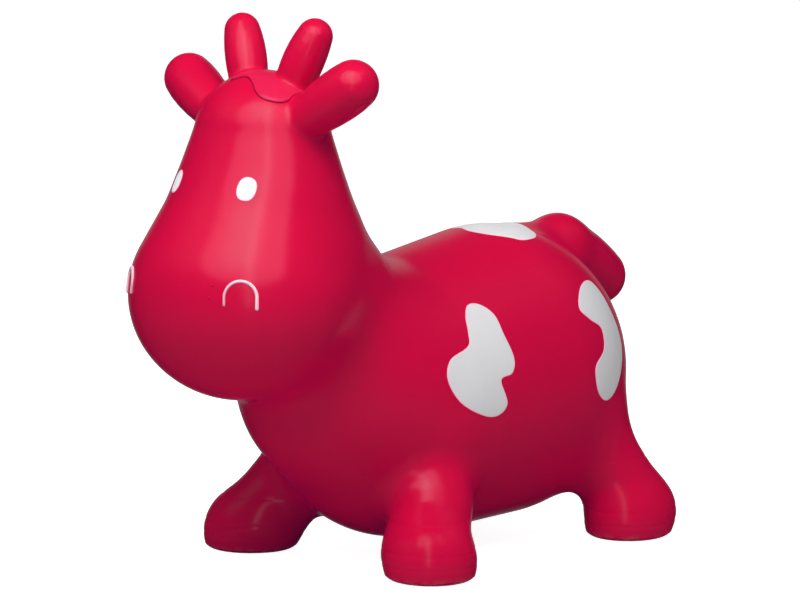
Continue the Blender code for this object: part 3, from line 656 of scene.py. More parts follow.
def part_of(source, name, wanted):
    """A new piece from the faces of a mesh that are wanted."""
    part = source.copy()
    part.name = name
    with opened(part) as mesh:
        unwanted = [face for face, keep in zip(mesh.faces, wanted) if not keep]
        bmesh.ops.delete(mesh, geom=unwanted, context="FACES")
    made = new_piece(name, part)
    print(name, len(part.polygons), "quads")
    return made


face_middles = values_of(cow_skin.data.polygons, "center", 3).astype(float)
left_over = np.ones(len(face_middles), bool)
zone_pieces = {}
for name, zone in zones.items():
    wanted = in_zone(face_middles, zone) & left_over
    left_over &= ~wanted
    zone_pieces[name] = part_of(cow_skin.data, name + "_skin", wanted)
body_skin = part_of(cow_skin.data, "body_skin", left_over)
bpy.data.objects.remove(cow_skin)

# %% [markdown]
# ## Legs and soles
# The legs carry the moulded bands, which are finer than the net, so the legs get one more round of
# splitting. Then each leg is cut level near the floor and closed with a sole. The photograph shows
# a crisp edge round each sole a few millimetres above the floor, and from there the sole dips to a
# flat middle. A parabola gives that: steep at the edge and level at the flat part.

# %% Finish the legs
SOLE_LEVEL = 0.0005
SOLE_DIP = 0.0036
SOLE_DIP_WIDTH = 0.0075
SOLE_STEPS = 8


def with_sole(made):
    """The leg cut level above the floor and closed with a sole that dips to a flat middle."""
    with opened(made.data) as mesh:
        bmesh.ops.bisect_plane(mesh, geom=mesh.verts[:] + mesh.edges[:] + mesh.faces[:],
                               dist=SOLE_LEVEL / 10, plane_co=(0, 0, SOLE_LEVEL + SOLE_DIP),
                               plane_no=(0, 0, 1), clear_inner=True)
        edge = min(boundary_loops(mesh), key=lambda loop: max(vert.co.z for vert in loop))
        middle = sum((vert.co for vert in edge), Vector()) / len(edge)
        ring = edge
        for step in range(1, SOLE_STEPS + 1):
            share = step / SOLE_STEPS
            inner = []
            for vert in edge:
                place = vert.co + (middle - vert.co).normalized() * SOLE_DIP_WIDTH * share
                place.z = SOLE_LEVEL + SOLE_DIP * (1 - share) ** 2
                inner.append(mesh.verts.new(place))
            for index, here in enumerate(ring):
                following = (index + 1) % len(ring)
                mesh.faces.new((ring[following], here, inner[index], inner[following]))
            ring = inner
        cap(mesh, ring, Vector((middle.x, middle.y, SOLE_LEVEL)))
    print(made.name, len(made.data.polygons), "faces")


def refined_leg(made):
    """A leg split once more, with the ring at its top kept where the body's ring is."""
    with opened(made.data) as mesh:
        kept = {vert.index: vert.co.copy() for vert in mesh.verts if vert.is_boundary}
    refined(made, skin_form)
    for index, place in kept.items():
        made.data.vertices[index].co = place
    return made


for name, made in zone_pieces.items():
    if zones[name].body == "feet":
        with_sole(refined_leg(made))

# %% [markdown]
# ## Closing the pieces
# An open edge is closed with a fan of triangles that no one sees, so each piece is a closed body.
# The valve needs a real hole in the rump: the faces inside it are taken out, the ragged edge is
# drawn onto a circle, and a short tube leads inwards from it.

# %% Open the valve hole
VALVE_HEIGHT = 0.115
VALVE_HOLE_RADIUS = 0.0095
VALVE_HOLE_DEPTH = 0.022
start_behind = np.array((0, cad_high.y + VALVE_HOLE_DEPTH, VALVE_HEIGHT))
steps = np.arange(0, cad_high.y, SEARCH_STEP)
line = start_behind - steps[:, None] * np.array((0, 1, 0))
valve_place = onto(smooth_form, line[[int(np.argmax(smooth_form(line) < 0))]])[0]
valve_out = outward(smooth_form, valve_place[None])[0]


def frame_along(origin, direction, upright=(0, 0, 1)):
    """A placement whose Z runs along a direction and whose Y leans towards upright."""
    forward = Vector(direction).normalized()
    sideways = Vector(upright).cross(forward).normalized()
    turn = Matrix((sideways, forward.cross(sideways), forward)).transposed()
    return Matrix.Translation(Vector(origin)) @ turn.to_4x4()


valve_frame = frame_along(valve_place, valve_out)
to_valve = valve_frame.inverted()
with opened(body_skin.data) as mesh:
    middles = {face: to_valve @ face.calc_center_median() for face in mesh.faces}
    inside = [face for face, middle in middles.items()
              if max(middle.xy.length, abs(middle.z)) < VALVE_HOLE_RADIUS]
    before = {vert for loop in boundary_loops(mesh) for vert in loop}
    bmesh.ops.delete(mesh, geom=inside, context="FACES")
    rim = next(loop for loop in boundary_loops(mesh) if not before.intersection(loop))
    places = []
    for vert in rim:
        flat = to_valve @ vert.co
        flat.xy = flat.xy.normalized() * VALVE_HOLE_RADIUS
        places.append(valve_frame @ flat)
    for vert, place in zip(rim, onto(skin_form, np.array(places))):
        vert.co = place
    rim_edges = [edge for edge in mesh.edges if edge.is_boundary and set(edge.verts) <= set(rim)]
    for item in bmesh.ops.extrude_edge_only(mesh, edges=rim_edges)["geom"]:
        if isinstance(item, bmesh.types.BMVert):
            flat = to_valve @ item.co
            flat.z = -VALVE_HOLE_DEPTH
            item.co = valve_frame @ flat
print("valve at", [round(float(value), 4) for value in valve_place])

# %% Close the cuts
SHARP_EDGE = radians(28)
ON_FORM = 0.0004
FACING_ALIKE = 0.7


def shaded_by(made, form):
    """Shading normals from the form wherever the piece lies on it."""
    mesh = made.data
    mesh.shade_smooth()
    level, slopes = level_and_slope(form, points_of(mesh))
    normals = slopes / np.linalg.norm(slopes, axis=-1, keepdims=True)
    corners = values_of(mesh.loops, "vertex_index", kind=np.int32)
    sizes = values_of(mesh.polygons, "loop_total", kind=np.int32)
    facing = np.repeat(values_of(mesh.polygons, "normal", 3), sizes, axis=0)
    at_corner = normals[corners]
    alike = (at_corner * facing).sum(-1) > FACING_ALIKE
    on_form = (np.abs(level[corners]) < ON_FORM) & alike
    mesh.set_sharp_from_angle(angle=SHARP_EDGE)
    mesh.normals_split_custom_set((at_corner * on_form[:, None]).tolist())


for made in (body_skin, *zone_pieces.values()):
    with opened(made.data) as mesh:
        loops = boundary_loops(mesh)
        for loop in loops:
            cap(mesh, loop)
    shaded_by(made, skin_form)
    print(made.name, len(made.data.polygons), "faces,", len(loops), "caps")

# %% [markdown]
# ## Marks that lie on the skin
# Eyes, patches and the tuft of hair are all thin shapes that follow the skin. One helper makes
# them all: a flat outline is filled with an even net of triangles, every point is cast onto the
# skin along the outline's own axis, and is lifted by a profile that grows from nothing at the
# edge. A low lift gives paint, a high one with a round edge gives a moulded ridge. The distance
# from the edge is kept as an attribute, so a finish can change towards the rim.

# %% Fill an outline
MARK_SINK = 0.0004
SHORTEST_EDGE = 0.000001
OUTLINE_WELD = 0.000004
EDGE_RINGS = (0.12, 0.4, 0.75)


def smooth_outline(shares, width, height, steps):
    """A closed smooth line through points given as shares of a width and a height."""
    corners = np.array(shares) * (width, height)
    line = []
    for index in range(len(corners)):
        before, start, end, after = (corners[(index + i) % len(corners)] for i in (-1, 0, 1, 2))
        for step in range(steps):
            t = step / steps
            line.append((2 * start + (end - before) * t
                         + (2 * before - 5 * start + 4 * end - after) * t ** 2
                         + (3 * start - before - 3 * end + after) * t ** 3) / 2)
    area = sum(a[0] * b[1] - b[0] * a[1] for a, b in zip(line, line[1:] + line[:1]))
    return np.array(line if area > 0 else line[::-1])


def distance_to_line(points, line):
    """Distance from each flat point to a closed line."""
    nearest = np.full(len(points), np.inf)
    for start, end in zip(line, np.roll(line, -1, axis=0)):
        edge = end - start
        share = np.clip((points - start) @ edge / max(edge @ edge, SHORTEST_EDGE ** 2), 0, 1)
        nearest = np.minimum(nearest,
                             np.linalg.norm(points - start - share[:, None] * edge, axis=1))
    return nearest


def inside_line(points, line):
    """Which flat points lie inside a closed line."""
    inside = np.zeros(len(points), bool)
    for start, end in zip(line, np.roll(line, -1, axis=0)):
        spans = (start[1] > points[:, 1]) != (end[1] > points[:, 1])
        rise = end[1] - start[1]
        if rise != 0:
            crossing = start[0] + (points[:, 1] - start[1]) / rise * (end[0] - start[0])
            inside ^= spans & (points[:, 0] < crossing)
    return inside


def inset(line, distance):
    """A closed line moved inwards by a small distance."""
    along = np.roll(line, -1, axis=0) - np.roll(line, 1, axis=0)
    along /= np.linalg.norm(along, axis=1)[:, None]
    return line + np.stack((-along[:, 1], along[:, 0]), -1) * distance


def filled(outline, edge, spacing):
    """Flat points and triangles inside an outline, with rings near its edge."""
    rings = [inset(outline, edge * share) for share in EDGE_RINGS]
    low, high = outline.min(0), outline.max(0)
    rows = np.arange(low[1], high[1], spacing * sqrt(3) / 2)
    grid = np.array([(x + (row % 2) * spacing / 2, y) for row, y in enumerate(rows)
                     for x in np.arange(low[0], high[0] + spacing, spacing)])
    room = distance_to_line(grid, outline)
    grid = grid[inside_line(grid, outline) & (room > edge + spacing / 3)]
    rings = [ring[inside_line(ring, outline)] for ring in rings]
    count = len(outline)
    border = [(index, (index + 1) % count) for index in range(count)]
    points, _, faces, _, _, _ = delaunay_2d_cdt(
        [Vector(point) for point in np.vstack([outline, *rings, grid])], border,
        [list(range(count))], 1, OUTLINE_WELD)
    return np.array([tuple(point) for point in points]), [tuple(face) for face in faces]


print("outline helpers ready")

# %% Lay a mark on the skin
CAST_ROUNDS = 60
CAST_CAUTION = 0.85
CAST_FROM = 0.3
MARK_SHARP_EDGE = radians(75)
IN_FRONT = float(cad_low.y) - CELL


def cast(form, starts, way):
    """Where rays meet a form, by steps a little shorter than the distance that is left."""
    travelled = np.zeros(len(starts))
    for _ in range(CAST_ROUNDS):
        travelled += CAST_CAUTION * form(starts + travelled[:, None] * way)
    return onto(form, starts + travelled[:, None] * way)


def drawn_on(form, flat, placement):
    """Flat points cast onto a form back along a placement's Z axis, and the normals there."""
    matrix = np.array(placement)
    starts = matrix[:3, 3] + flat @ matrix[:3, :2].T + matrix[:3, 2] * CAST_FROM
    on_form = cast(form, starts, -matrix[:3, 2])
    return on_form, outward(form, on_form)


def seen_in_front(form, side, height):
    """A placement on a form at a place seen from in front, facing out of the smooth skin."""
    spot = cast(form, np.array([(side, IN_FRONT, height)]), np.array((0, 1, 0)))
    return frame_along(spot[0], outward(smooth_form, spot)[0])


def marked_piece(name, points, faces, label, values):
    """A smooth piece with one value for each point kept as an attribute."""
    mesh = bpy.data.meshes.new(name)
    mesh.from_pydata(points.tolist(), [], faces)
    layer = mesh.attributes.new(label, "FLOAT", "POINT")
    layer.data.foreach_set("value", values.astype(np.float32))
    mesh.shade_smooth()
    return new_piece(name, mesh)


def laid_on(name, outline, placement, form, rise, edge, spacing):
    """A thin closed shape over an outline, laid on a form seen from outside along its Z axis."""
    flat, triangles = filled(outline, edge, spacing)
    depth = distance_to_line(flat, outline)
    share = np.clip(depth / edge, 0, 1)
    lift = rise * np.sqrt(1 - (1 - share) ** 2)
    on_skin, normals = drawn_on(form, flat, placement)
    top = on_skin + normals * lift[:, None]
    bottom = on_skin - normals * MARK_SINK
    total = len(flat)
    sides = dict.fromkeys(pair for a, b, c in triangles for pair in ((a, b), (b, c), (c, a)))
    faces = triangles + [(c + total, b + total, a + total) for a, b, c in triangles]
    faces += [(b, a, a + total, b + total) for a, b in sides if (b, a) not in sides]
    made = marked_piece(name, np.vstack([top, bottom]), faces, "from_edge", np.tile(depth, 2))
    made.data.set_sharp_from_angle(angle=MARK_SHARP_EDGE)
    return made


print("mark helpers ready")

# %% [markdown]
# The eyes are tall ovals that lean outwards at the top. They are painted straight onto the brow.

# %% Paint the eyes
PAINT_RISE = 0.00025
PAINT_EDGE = 0.0006
MARK_SPACING = 0.0022
EYE_SIDE = 0.0389
EYE_HEIGHT = 0.330
EYE_SIZE = (0.0162, 0.0200)
EYE_SQUARENESS = 0.86
EYE_LEAN = radians(12)
OVAL_POINTS = 56


def oval(size, lean, squareness=1):
    """Points of an ellipse that leans; squareness below 1 fills its corners."""
    turn = np.linspace(0, 2 * pi, OVAL_POINTS, endpoint=False)
    x = size[0] / 2 * np.sign(np.cos(turn)) * np.abs(np.cos(turn)) ** squareness
    y = size[1] / 2 * np.sign(np.sin(turn)) * np.abs(np.sin(turn)) ** squareness
    return np.stack((x * cos(lean) + y * sin(lean), y * cos(lean) - x * sin(lean)), -1)


marks = {}
for side, sign in SIDES.items():
    marks["eye_" + side] = laid_on("painted_eye_" + side,
                                   oval(EYE_SIZE, sign * EYE_LEAN, EYE_SQUARENESS),
                                   seen_in_front(skin_form, sign * EYE_SIDE, EYE_HEIGHT),
                                   skin_form, PAINT_RISE, PAINT_EDGE, MARK_SPACING)
print("eyes", [len(made.data.polygons) for made in marks.values()])

# %% [markdown]
# The grey patches are sprayed through cut-out masks. The photograph shows the left side and the
# back. The far side can't be seen, so it carries the same two masks the other way round.

# %% Spray the patches
PATCH_STEPS = 7
PATCH_SPACING = 0.0034
FLANK_OUTLINE = [(0.02, 0.40), (0.14, 0.50), (0.30, 0.50), (0.43, 0.40), (0.45, 0.22),
                 (0.50, 0.0), (0.43, -0.13), (0.25, -0.18), (0.32, -0.40), (0.18, -0.50),
                 (-0.05, -0.48), (-0.35, -0.34), (-0.50, -0.12), (-0.42, 0.06),
                 (-0.12, 0.16), (-0.04, 0.28)]
RUMP_OUTLINE = [(-0.06, 0.50), (-0.32, 0.47), (-0.50, 0.32), (-0.38, 0.21), (-0.22, 0.12),
                (-0.25, -0.05), (-0.44, -0.19), (-0.40, -0.40), (-0.22, -0.50),
                (-0.02, -0.43), (0.15, -0.27), (0.235, -0.09), (0.225, 0.06), (0.17, 0.20),
                (0.09, 0.38)]
BACK_OUTLINE = [(-0.16, -0.40), (0.04, -0.50), (0.24, -0.45), (0.42, -0.28), (0.50, -0.16),
                (0.48, 0.06), (0.38, 0.22), (0.25, 0.31), (0.08, 0.36), (-0.14, 0.31),
                (-0.36, 0.18), (-0.50, -0.04), (-0.42, -0.25), (-0.30, -0.37)]
FLANK_SIZE = (0.075, 0.089)
RUMP_SIZE = (0.080, 0.0985)
BACK_SIZE = (0.085, 0.073)
FLANK_SPOT = (0, -0.01545, 0.172)
RUMP_SPOT = (0, 0.15105, 0.173)
BACK_SPOT = (0.002, 0.11605, 0.142)

patch_plan = {"flank_left": (FLANK_OUTLINE, FLANK_SIZE, frame_along(FLANK_SPOT, (1, 0, 0))),
              "rump_left": (RUMP_OUTLINE, RUMP_SIZE, frame_along(RUMP_SPOT, (1, 0, 0))),
              "flank_right": (RUMP_OUTLINE, RUMP_SIZE, frame_along(FLANK_SPOT, (-1, 0, 0))),
              "rump_right": (FLANK_OUTLINE, FLANK_SIZE, frame_along(RUMP_SPOT, (-1, 0, 0))),
              "back": (BACK_OUTLINE, BACK_SIZE, Matrix.Translation(BACK_SPOT))}
for name, (outline, size, placement) in patch_plan.items():
    marks["patch_" + name] = laid_on("sprayed_patch_" + name,
                                     smooth_outline(outline, *size, PATCH_STEPS), placement,
                                     smooth_form, PAINT_RISE, PAINT_EDGE, PATCH_SPACING)
print("patches", sum(len(made.data.polygons) for made in marks.values()), "triangles with eyes")

# %% [markdown]
# The tuft of hair is a low raised island between the horns, moulded with the skin. It lies on the
# body alone, so the horns rise out of it.

# %% Mould the tuft
TUFT_RISE = 0.0014
TUFT_EDGE = 0.0016
TUFT_SPACING = 0.0030
TUFT_SIZE = (0.060, 0.036)
TUFT_SPOT = (0.016, -0.19445, 0.3655)
TUFT_OUTLINE = [(-0.50, 0.14), (-0.26, 0.21), (-0.06, 0.06), (0.07, -0.07), (0.22, -0.09),
                (0.37, 0.06), (0.45, 0.26), (0.45, 0.48), (0.33, 1.0), (-0.50, 1.0)]

marks["forelock"] = laid_on("moulded_tuft", smooth_outline(TUFT_OUTLINE, *TUFT_SIZE, PATCH_STEPS),
                            Matrix.Translation(TUFT_SPOT), body_form, TUFT_RISE, TUFT_EDGE,
                            TUFT_SPACING)
print("tuft", len(marks["forelock"].data.polygons), "triangles")

# %% [markdown]
# Each nostril is a raised arch, like a horseshoe, with a thin inner leg and a thicker and longer
# outer leg. It is a ridge swept along a path on the muzzle: an oval section whose lower half lies
# under the skin, drawn in to nothing at both ends.

# %% Sweep a ridge along a path
NOSTRIL_SECTION = 16
NARROWEST_SHARE = 0.05


def ridge(name, path, placement, form, half_widths, rise):
    """A raised ridge along a flat path laid on a form, with the share along it as an attribute."""
    line, normals = drawn_on(form, path, placement)
    sideways = np.cross(np.gradient(line, axis=0), normals)
    sideways /= np.linalg.norm(sideways, axis=1)[:, None]
    share = np.linspace(0, 1, len(line))
    width = half_widths[0] + (half_widths[1] - half_widths[0]) * share
    travelled = np.concatenate([[0], np.cumsum(np.linalg.norm(np.diff(line, axis=0), axis=1))])
    from_end = np.minimum(travelled, travelled[-1] - travelled)
    rounding = 1 - (1 - np.clip(from_end / width, 0, 1)) ** 2
    rounding = np.sqrt(np.clip(rounding, NARROWEST_SHARE ** 2, 1))
    points = []
    for index in range(NOSTRIL_SECTION):
        turn = 2 * pi * index / NOSTRIL_SECTION
        offset = sideways * (width * rounding * cos(turn))[:, None]
        points.append(line + offset + normals * (rise * rounding * sin(turn))[:, None])
    rings = np.arange(len(line) * NOSTRIL_SECTION).reshape(-1, NOSTRIL_SECTION).tolist()
    faces = [tuple(rings[0]), tuple(reversed(rings[-1]))]
    for here, there in zip(rings, rings[1:]):
        for index in range(NOSTRIL_SECTION):
            following = (index + 1) % NOSTRIL_SECTION
            faces.append((here[index], there[index], there[following], here[following]))
    made = marked_piece(name, np.stack(points, 1).reshape(-1, 3), faces, "along_ridge",
                        np.repeat(share, NOSTRIL_SECTION))
    with opened(made.data) as mesh:
        bmesh.ops.recalc_face_normals(mesh, faces=mesh.faces)
    return made


print("ridge helper ready")

# %% Raise the nostrils
NOSTRIL_SIDE = 0.0625
NOSTRIL_HEIGHT = 0.2482
NOSTRIL_RADIUS = 0.0131
NOSTRIL_LEGS = (0.0070, 0.0102)
NOSTRIL_HALF_WIDTHS = (0.0010, 0.0015)
NOSTRIL_RISE = 0.0015
NOSTRIL_STEPS = 64


def arch_path(sign):
    """A flat path up the inner leg, over the arch and down the outer leg."""
    inner, outer = NOSTRIL_LEGS
    length = inner + pi * NOSTRIL_RADIUS + outer
    path = []
    for travelled in np.linspace(0, length, NOSTRIL_STEPS):
        turn = np.clip((travelled - inner) / NOSTRIL_RADIUS, 0, pi)
        x = -NOSTRIL_RADIUS * cos(turn)
        y = NOSTRIL_RADIUS * sin(turn)
        y -= max(inner - travelled, 0) + max(travelled - inner - pi * NOSTRIL_RADIUS, 0)
        path.append((sign * x, y))
    return np.array(path)


for side, sign in SIDES.items():
    placement = seen_in_front(skin_form, sign * NOSTRIL_SIDE, NOSTRIL_HEIGHT)
    marks["nostril_" + side] = ridge("raised_nostril_" + side, arch_path(sign), placement,
                                     smooth_form, NOSTRIL_HALF_WIDTHS, NOSTRIL_RISE)
print("nostril", len(marks["nostril_left"].data.polygons), "faces")

# %% [markdown]
# Two tiny pips of vinyl stand on the muzzle between the nostrils, left by the vents of the mould.

# %% Leave the mould's pips
PIP_SIZE = (0.0022, 0.0022)
PIP_RISE = 0.0007
PIP_SPACING = 0.0007
PIP_PLACES = [(0.0419, 0.2572), (0.0400, 0.2477)]

pips = [laid_on("mould_pip_" + str(number), oval(PIP_SIZE, 0),
                seen_in_front(smooth_form, *place), smooth_form, PIP_RISE, PIP_SIZE[0] / 2,
                PIP_SPACING) for number, place in enumerate(PIP_PLACES, 1)]
print("pips", len(pips))

# %% [markdown]
# ## Air valve
# The valve can't be seen in the photograph. On such toys it sits low on the rump: a soft seat
# welded round a hole, and a stopper with a flat head pressed flush into it. Both are turned
# shapes, so one helper sweeps a profile round an axis.

# %% Sweep a profile round an axis
TURNED_SIDES = 64
TURNED_SHARP_EDGE = radians(50)
ROUND_STEPS = 4


def rounded_corner(across, level, radius, start, end):
    """Profile points on a quarter circle, angles in degrees."""
    turns = [radians(start + (end - start) * step / ROUND_STEPS) for step in range(ROUND_STEPS + 1)]
    return [(across + radius * cos(turn), level + radius * sin(turn)) for turn in turns]


def turned(name, profile, placement, through):
    """A closed piece swept round the Z axis of a placement; a bore goes through it if asked."""
    part = bpy.data.meshes.new(name)
    with opened(part) as mesh:
        turns = [2 * pi * side / TURNED_SIDES for side in range(TURNED_SIDES)]
        rings = []
        for radius, level in profile:
            around = turns if radius else turns[:1]
            ring = [mesh.verts.new(placement @ Vector((radius * cos(turn), radius * sin(turn),
                                                       level))) for turn in around]
            rings.append(ring if radius else ring * TURNED_SIDES)
        for upper, lower in zip(rings, rings[1:] + (rings[:1] if through else [])):
            for side in range(TURNED_SIDES):
                following = (side + 1) % TURNED_SIDES
                corners = [upper[side], upper[following], lower[following], lower[side]]
                mesh.faces.new(list(dict.fromkeys(corners)))
        bmesh.ops.recalc_face_normals(mesh, faces=mesh.faces)
    part.shade_smooth()
    part.set_sharp_from_angle(angle=TURNED_SHARP_EDGE)
    return new_piece(name, part)


print("turned pieces have", TURNED_SIDES, "sides")

# %% Turn the seat and the stopper
SEAT_RADIUS = 0.0115
SEAT_RISE = 0.0012
SEAT_TUBE_RADIUS = 0.0072
SEAT_DEPTH = 0.0160
SEAT_BORE_RADIUS = 0.0044
SEAT_ROUND = 0.0009
PLUG_HEAD_RADIUS = 0.0085
PLUG_HEAD_THICKNESS = 0.0024
PLUG_HEAD_ROUND = 0.0010
PLUG_DISH_RADIUS = 0.0062
PLUG_DISH_DEPTH = 0.0005
PLUG_STEM_RADIUS = 0.0036
PLUG_STEM_LENGTH = 0.0135
CLEARANCE = 0.0003

seat_profile = [(SEAT_BORE_RADIUS, -SEAT_DEPTH),
                *rounded_corner(SEAT_BORE_RADIUS + SEAT_ROUND, SEAT_RISE - SEAT_ROUND,
                                SEAT_ROUND, 180, 90),
                *rounded_corner(SEAT_RADIUS - SEAT_ROUND, SEAT_RISE - SEAT_ROUND,
                                SEAT_ROUND, 90, 0),
                (SEAT_RADIUS, -SEAT_RISE), (SEAT_TUBE_RADIUS, -SEAT_RISE),
                (SEAT_TUBE_RADIUS, -SEAT_DEPTH)]
valve_seat = turned("moulded_valve_seat", seat_profile, valve_frame, through=True)

plug_frame = valve_frame @ Matrix.Translation((0, 0, SEAT_RISE + CLEARANCE))
plug_profile = [(0, PLUG_HEAD_THICKNESS - PLUG_DISH_DEPTH),
                *rounded_corner(PLUG_DISH_RADIUS - PLUG_DISH_DEPTH, PLUG_HEAD_THICKNESS,
                                PLUG_DISH_DEPTH, -90, 0),
                *rounded_corner(PLUG_HEAD_RADIUS - PLUG_HEAD_ROUND,
                                PLUG_HEAD_THICKNESS - PLUG_HEAD_ROUND, PLUG_HEAD_ROUND, 90, 0),
                (PLUG_HEAD_RADIUS, 0), (PLUG_STEM_RADIUS, 0),
                *rounded_corner(PLUG_STEM_RADIUS - SEAT_ROUND, SEAT_ROUND - PLUG_STEM_LENGTH,
                                SEAT_ROUND, 0, -90),
                (0, -PLUG_STEM_LENGTH)]
valve_plug = turned("pressed_in_stopper", plug_profile, plug_frame, through=False)
print("valve", len(valve_seat.data.polygons) + len(valve_plug.data.polygons), "faces")

# %% [markdown]
# ## Rings that repeat
# Two places carry rows of rings: the grip ribs under the soles and the sealing rings on the
# stopper. One Geometry Nodes tree makes both. Circles grow from ring to ring and step along a
# direction, a round wire is swept round each, and the row is set on every point of the mesh it
# is given.

# %% Build the ring row tree
RING_RESOLUTION = 72
WIRE_RESOLUTION = 10

ring_row = bpy.data.node_groups.new("ring_row", "GeometryNodeTree")
interface = ring_row.interface
sockets = {}
for label, kind in {"Places": "Geometry", "Count": "Int", "First Radius": "Float",
                    "Radius Step": "Float", "Spacing": "Float", "Wire Radius": "Float",
                    "Direction": "Vector", "Material": "Material"}.items():
    sockets[label] = interface.new_socket(label, in_out="INPUT",
                                          socket_type="NodeSocket" + kind).identifier
interface.new_socket("Geometry", in_out="OUTPUT", socket_type="NodeSocketGeometry")
given = add_node(ring_row, "NodeGroupInput")
step = add_node(ring_row, "ShaderNodeCombineXYZ", {"Z": given["Spacing"]})[0]
row = add_node(ring_row, "GeometryNodeMeshLine", {"Count": given["Count"], "Offset": step})[0]
number = add_node(ring_row, "GeometryNodeInputIndex")[0]
radius = arithmetic(ring_row, "MULTIPLY_ADD", number, given["Radius Step"], given["First Radius"])
ring = add_node(ring_row, "GeometryNodeCurvePrimitiveCircle",
                {"Resolution": RING_RESOLUTION, "Radius": 1})["Curve"]
rings = add_node(ring_row, "GeometryNodeInstanceOnPoints",
                 {"Points": row, "Instance": ring, "Scale": radius})[0]
rings = add_node(ring_row, "GeometryNodeRealizeInstances", (rings,))[0]
even = add_node(ring_row, "GeometryNodeSetCurveRadius", {"Curve": rings, "Radius": 1})[0]
section = add_node(ring_row, "GeometryNodeCurvePrimitiveCircle",
                   {"Resolution": WIRE_RESOLUTION, "Radius": given["Wire Radius"]})["Curve"]
swept = add_node(ring_row, "GeometryNodeCurveToMesh", {"Curve": even, "Profile Curve": section})[0]
turned_row = add_node(ring_row, "FunctionNodeAlignRotationToVector",
                      {"Vector": given["Direction"]}, axis="Z")[0]
placed = add_node(ring_row, "GeometryNodeInstanceOnPoints",
                  {"Points": given["Places"], "Instance": swept, "Rotation": turned_row})[0]
real = add_node(ring_row, "GeometryNodeRealizeInstances", (placed,))[0]
dressed = add_node(ring_row, "GeometryNodeSetMaterial",
                   {"Geometry": real, "Material": given["Material"]})[0]
add_node(ring_row, "NodeGroupOutput", (dressed,))


def ring_rows(name, places, material, **values):
    """One mesh with a row of rings at each place, from the tree."""
    mesh = bpy.data.meshes.new(name)
    mesh.from_pydata([tuple(place) for place in places], [], [])
    made = new_piece(name, mesh)
    modifier = made.modifiers.new("rings", "NODES")
    modifier.node_group = ring_row
    modifier[sockets["Material"]] = material
    for label, value in values.items():
        modifier[sockets[label.replace("_", " ").title()]] = value
    with_modifiers_applied(made)
    made.data.shade_smooth()
    return made


print("ring row tree:", len(ring_row.nodes), "nodes")

# %% [markdown]
# ## Materials
# The finishes share a few effects, each a node group: colour that drifts a little, gloss that
# varies where hands have been, a fine moulded grain, and dust that gathers near the floor. The
# groups work in object coordinates, in metres, so their scales are real.

# %% Share the effects
SOCKET_KINDS = {"Color": "NodeSocketColor", "Place": "NodeSocketVector",
                "Normal": "NodeSocketVector"}


def effect(name, inputs, outputs):
    """An empty shader node group with named inputs and outputs."""
    group = bpy.data.node_groups.new(name, "ShaderNodeTree")
    for in_out, labels in (("INPUT", inputs), ("OUTPUT", outputs)):
        for label in labels:
            group.interface.new_socket(label, in_out=in_out,
                                       socket_type=SOCKET_KINDS.get(label, "NodeSocketFloat"))
    return group, add_node(group, "NodeGroupInput")


def noise(tree, place, waves, detail=4):
    """A noise texture with a number of waves per metre."""
    return add_node(tree, "ShaderNodeTexNoise",
                    {"Vector": place, "Scale": waves, "Detail": detail})["Fac"]


def mixed(tree, share, first, second):
    """Two colours mixed; each is a colour or a socket."""
    return add_node(tree, "ShaderNodeMix", {"Factor": share, "A": first, "B": second},
                    data_type="RGBA")["Result"]

# %% Let the colour drift
COLOUR_WAVES = 16
CLOUD_WAVES = 95
drift, given = effect("colour_drift", ("Color", "Place", "Amount"), ("Color",))
both = arithmetic(drift, "ADD", noise(drift, given["Place"], COLOUR_WAVES),
                  noise(drift, given["Place"], CLOUD_WAVES))
centred = arithmetic(drift, "SUBTRACT", both, 1)
change = arithmetic(drift, "MULTIPLY_ADD", centred, given["Amount"], 1)
tone = add_node(drift, "ShaderNodeVectorMath", {0: given["Color"], "Scale": change},
                operation="SCALE")["Vector"]
add_node(drift, "NodeGroupOutput", (tone,))
print(drift.name, len(drift.nodes), "nodes")

# %% Let the gloss vary
SMEAR_WAVES = 22
SMEAR_EDGES = (0.35, 0.7)
SMEAR_RANGE = (-0.6, 1)
SPECKLE_WAVES = 700
SPECKLE_SHARE = 0.6
gloss, given = effect("handled_gloss", ("Roughness", "Place", "Amount"), ("Roughness",))
smear = noise(gloss, given["Place"], SMEAR_WAVES)
speckle = noise(gloss, given["Place"], SPECKLE_WAVES, detail=1)
blotches = ramp(gloss, smear, *SMEAR_EDGES, *SMEAR_RANGE)
uneven = arithmetic(gloss, "MULTIPLY_ADD", speckle, SPECKLE_SHARE, blotches)
rough = arithmetic(gloss, "MULTIPLY_ADD", uneven, given["Amount"], given["Roughness"])
add_node(gloss, "NodeGroupOutput", (rough,))
print(gloss.name, len(gloss.nodes), "nodes")

# %% Grain the surface
GRAIN_WAVES = 420
GRAIN_SHARE = 0.35
PEEL_WAVES = 130
grain, given = effect("moulded_grain", ("Place", "Strength", "Depth"), ("Normal",))
fine = noise(grain, given["Place"], GRAIN_WAVES, detail=2)
peel = noise(grain, given["Place"], PEEL_WAVES, detail=2)
height = arithmetic(grain, "MULTIPLY_ADD", fine, GRAIN_SHARE, peel)
bump = add_node(grain, "ShaderNodeBump", {"Height": height, "Strength": given["Strength"],
                                          "Distance": given["Depth"]})["Normal"]
add_node(grain, "NodeGroupOutput", (bump,))
print(grain.name, len(grain.nodes), "nodes")

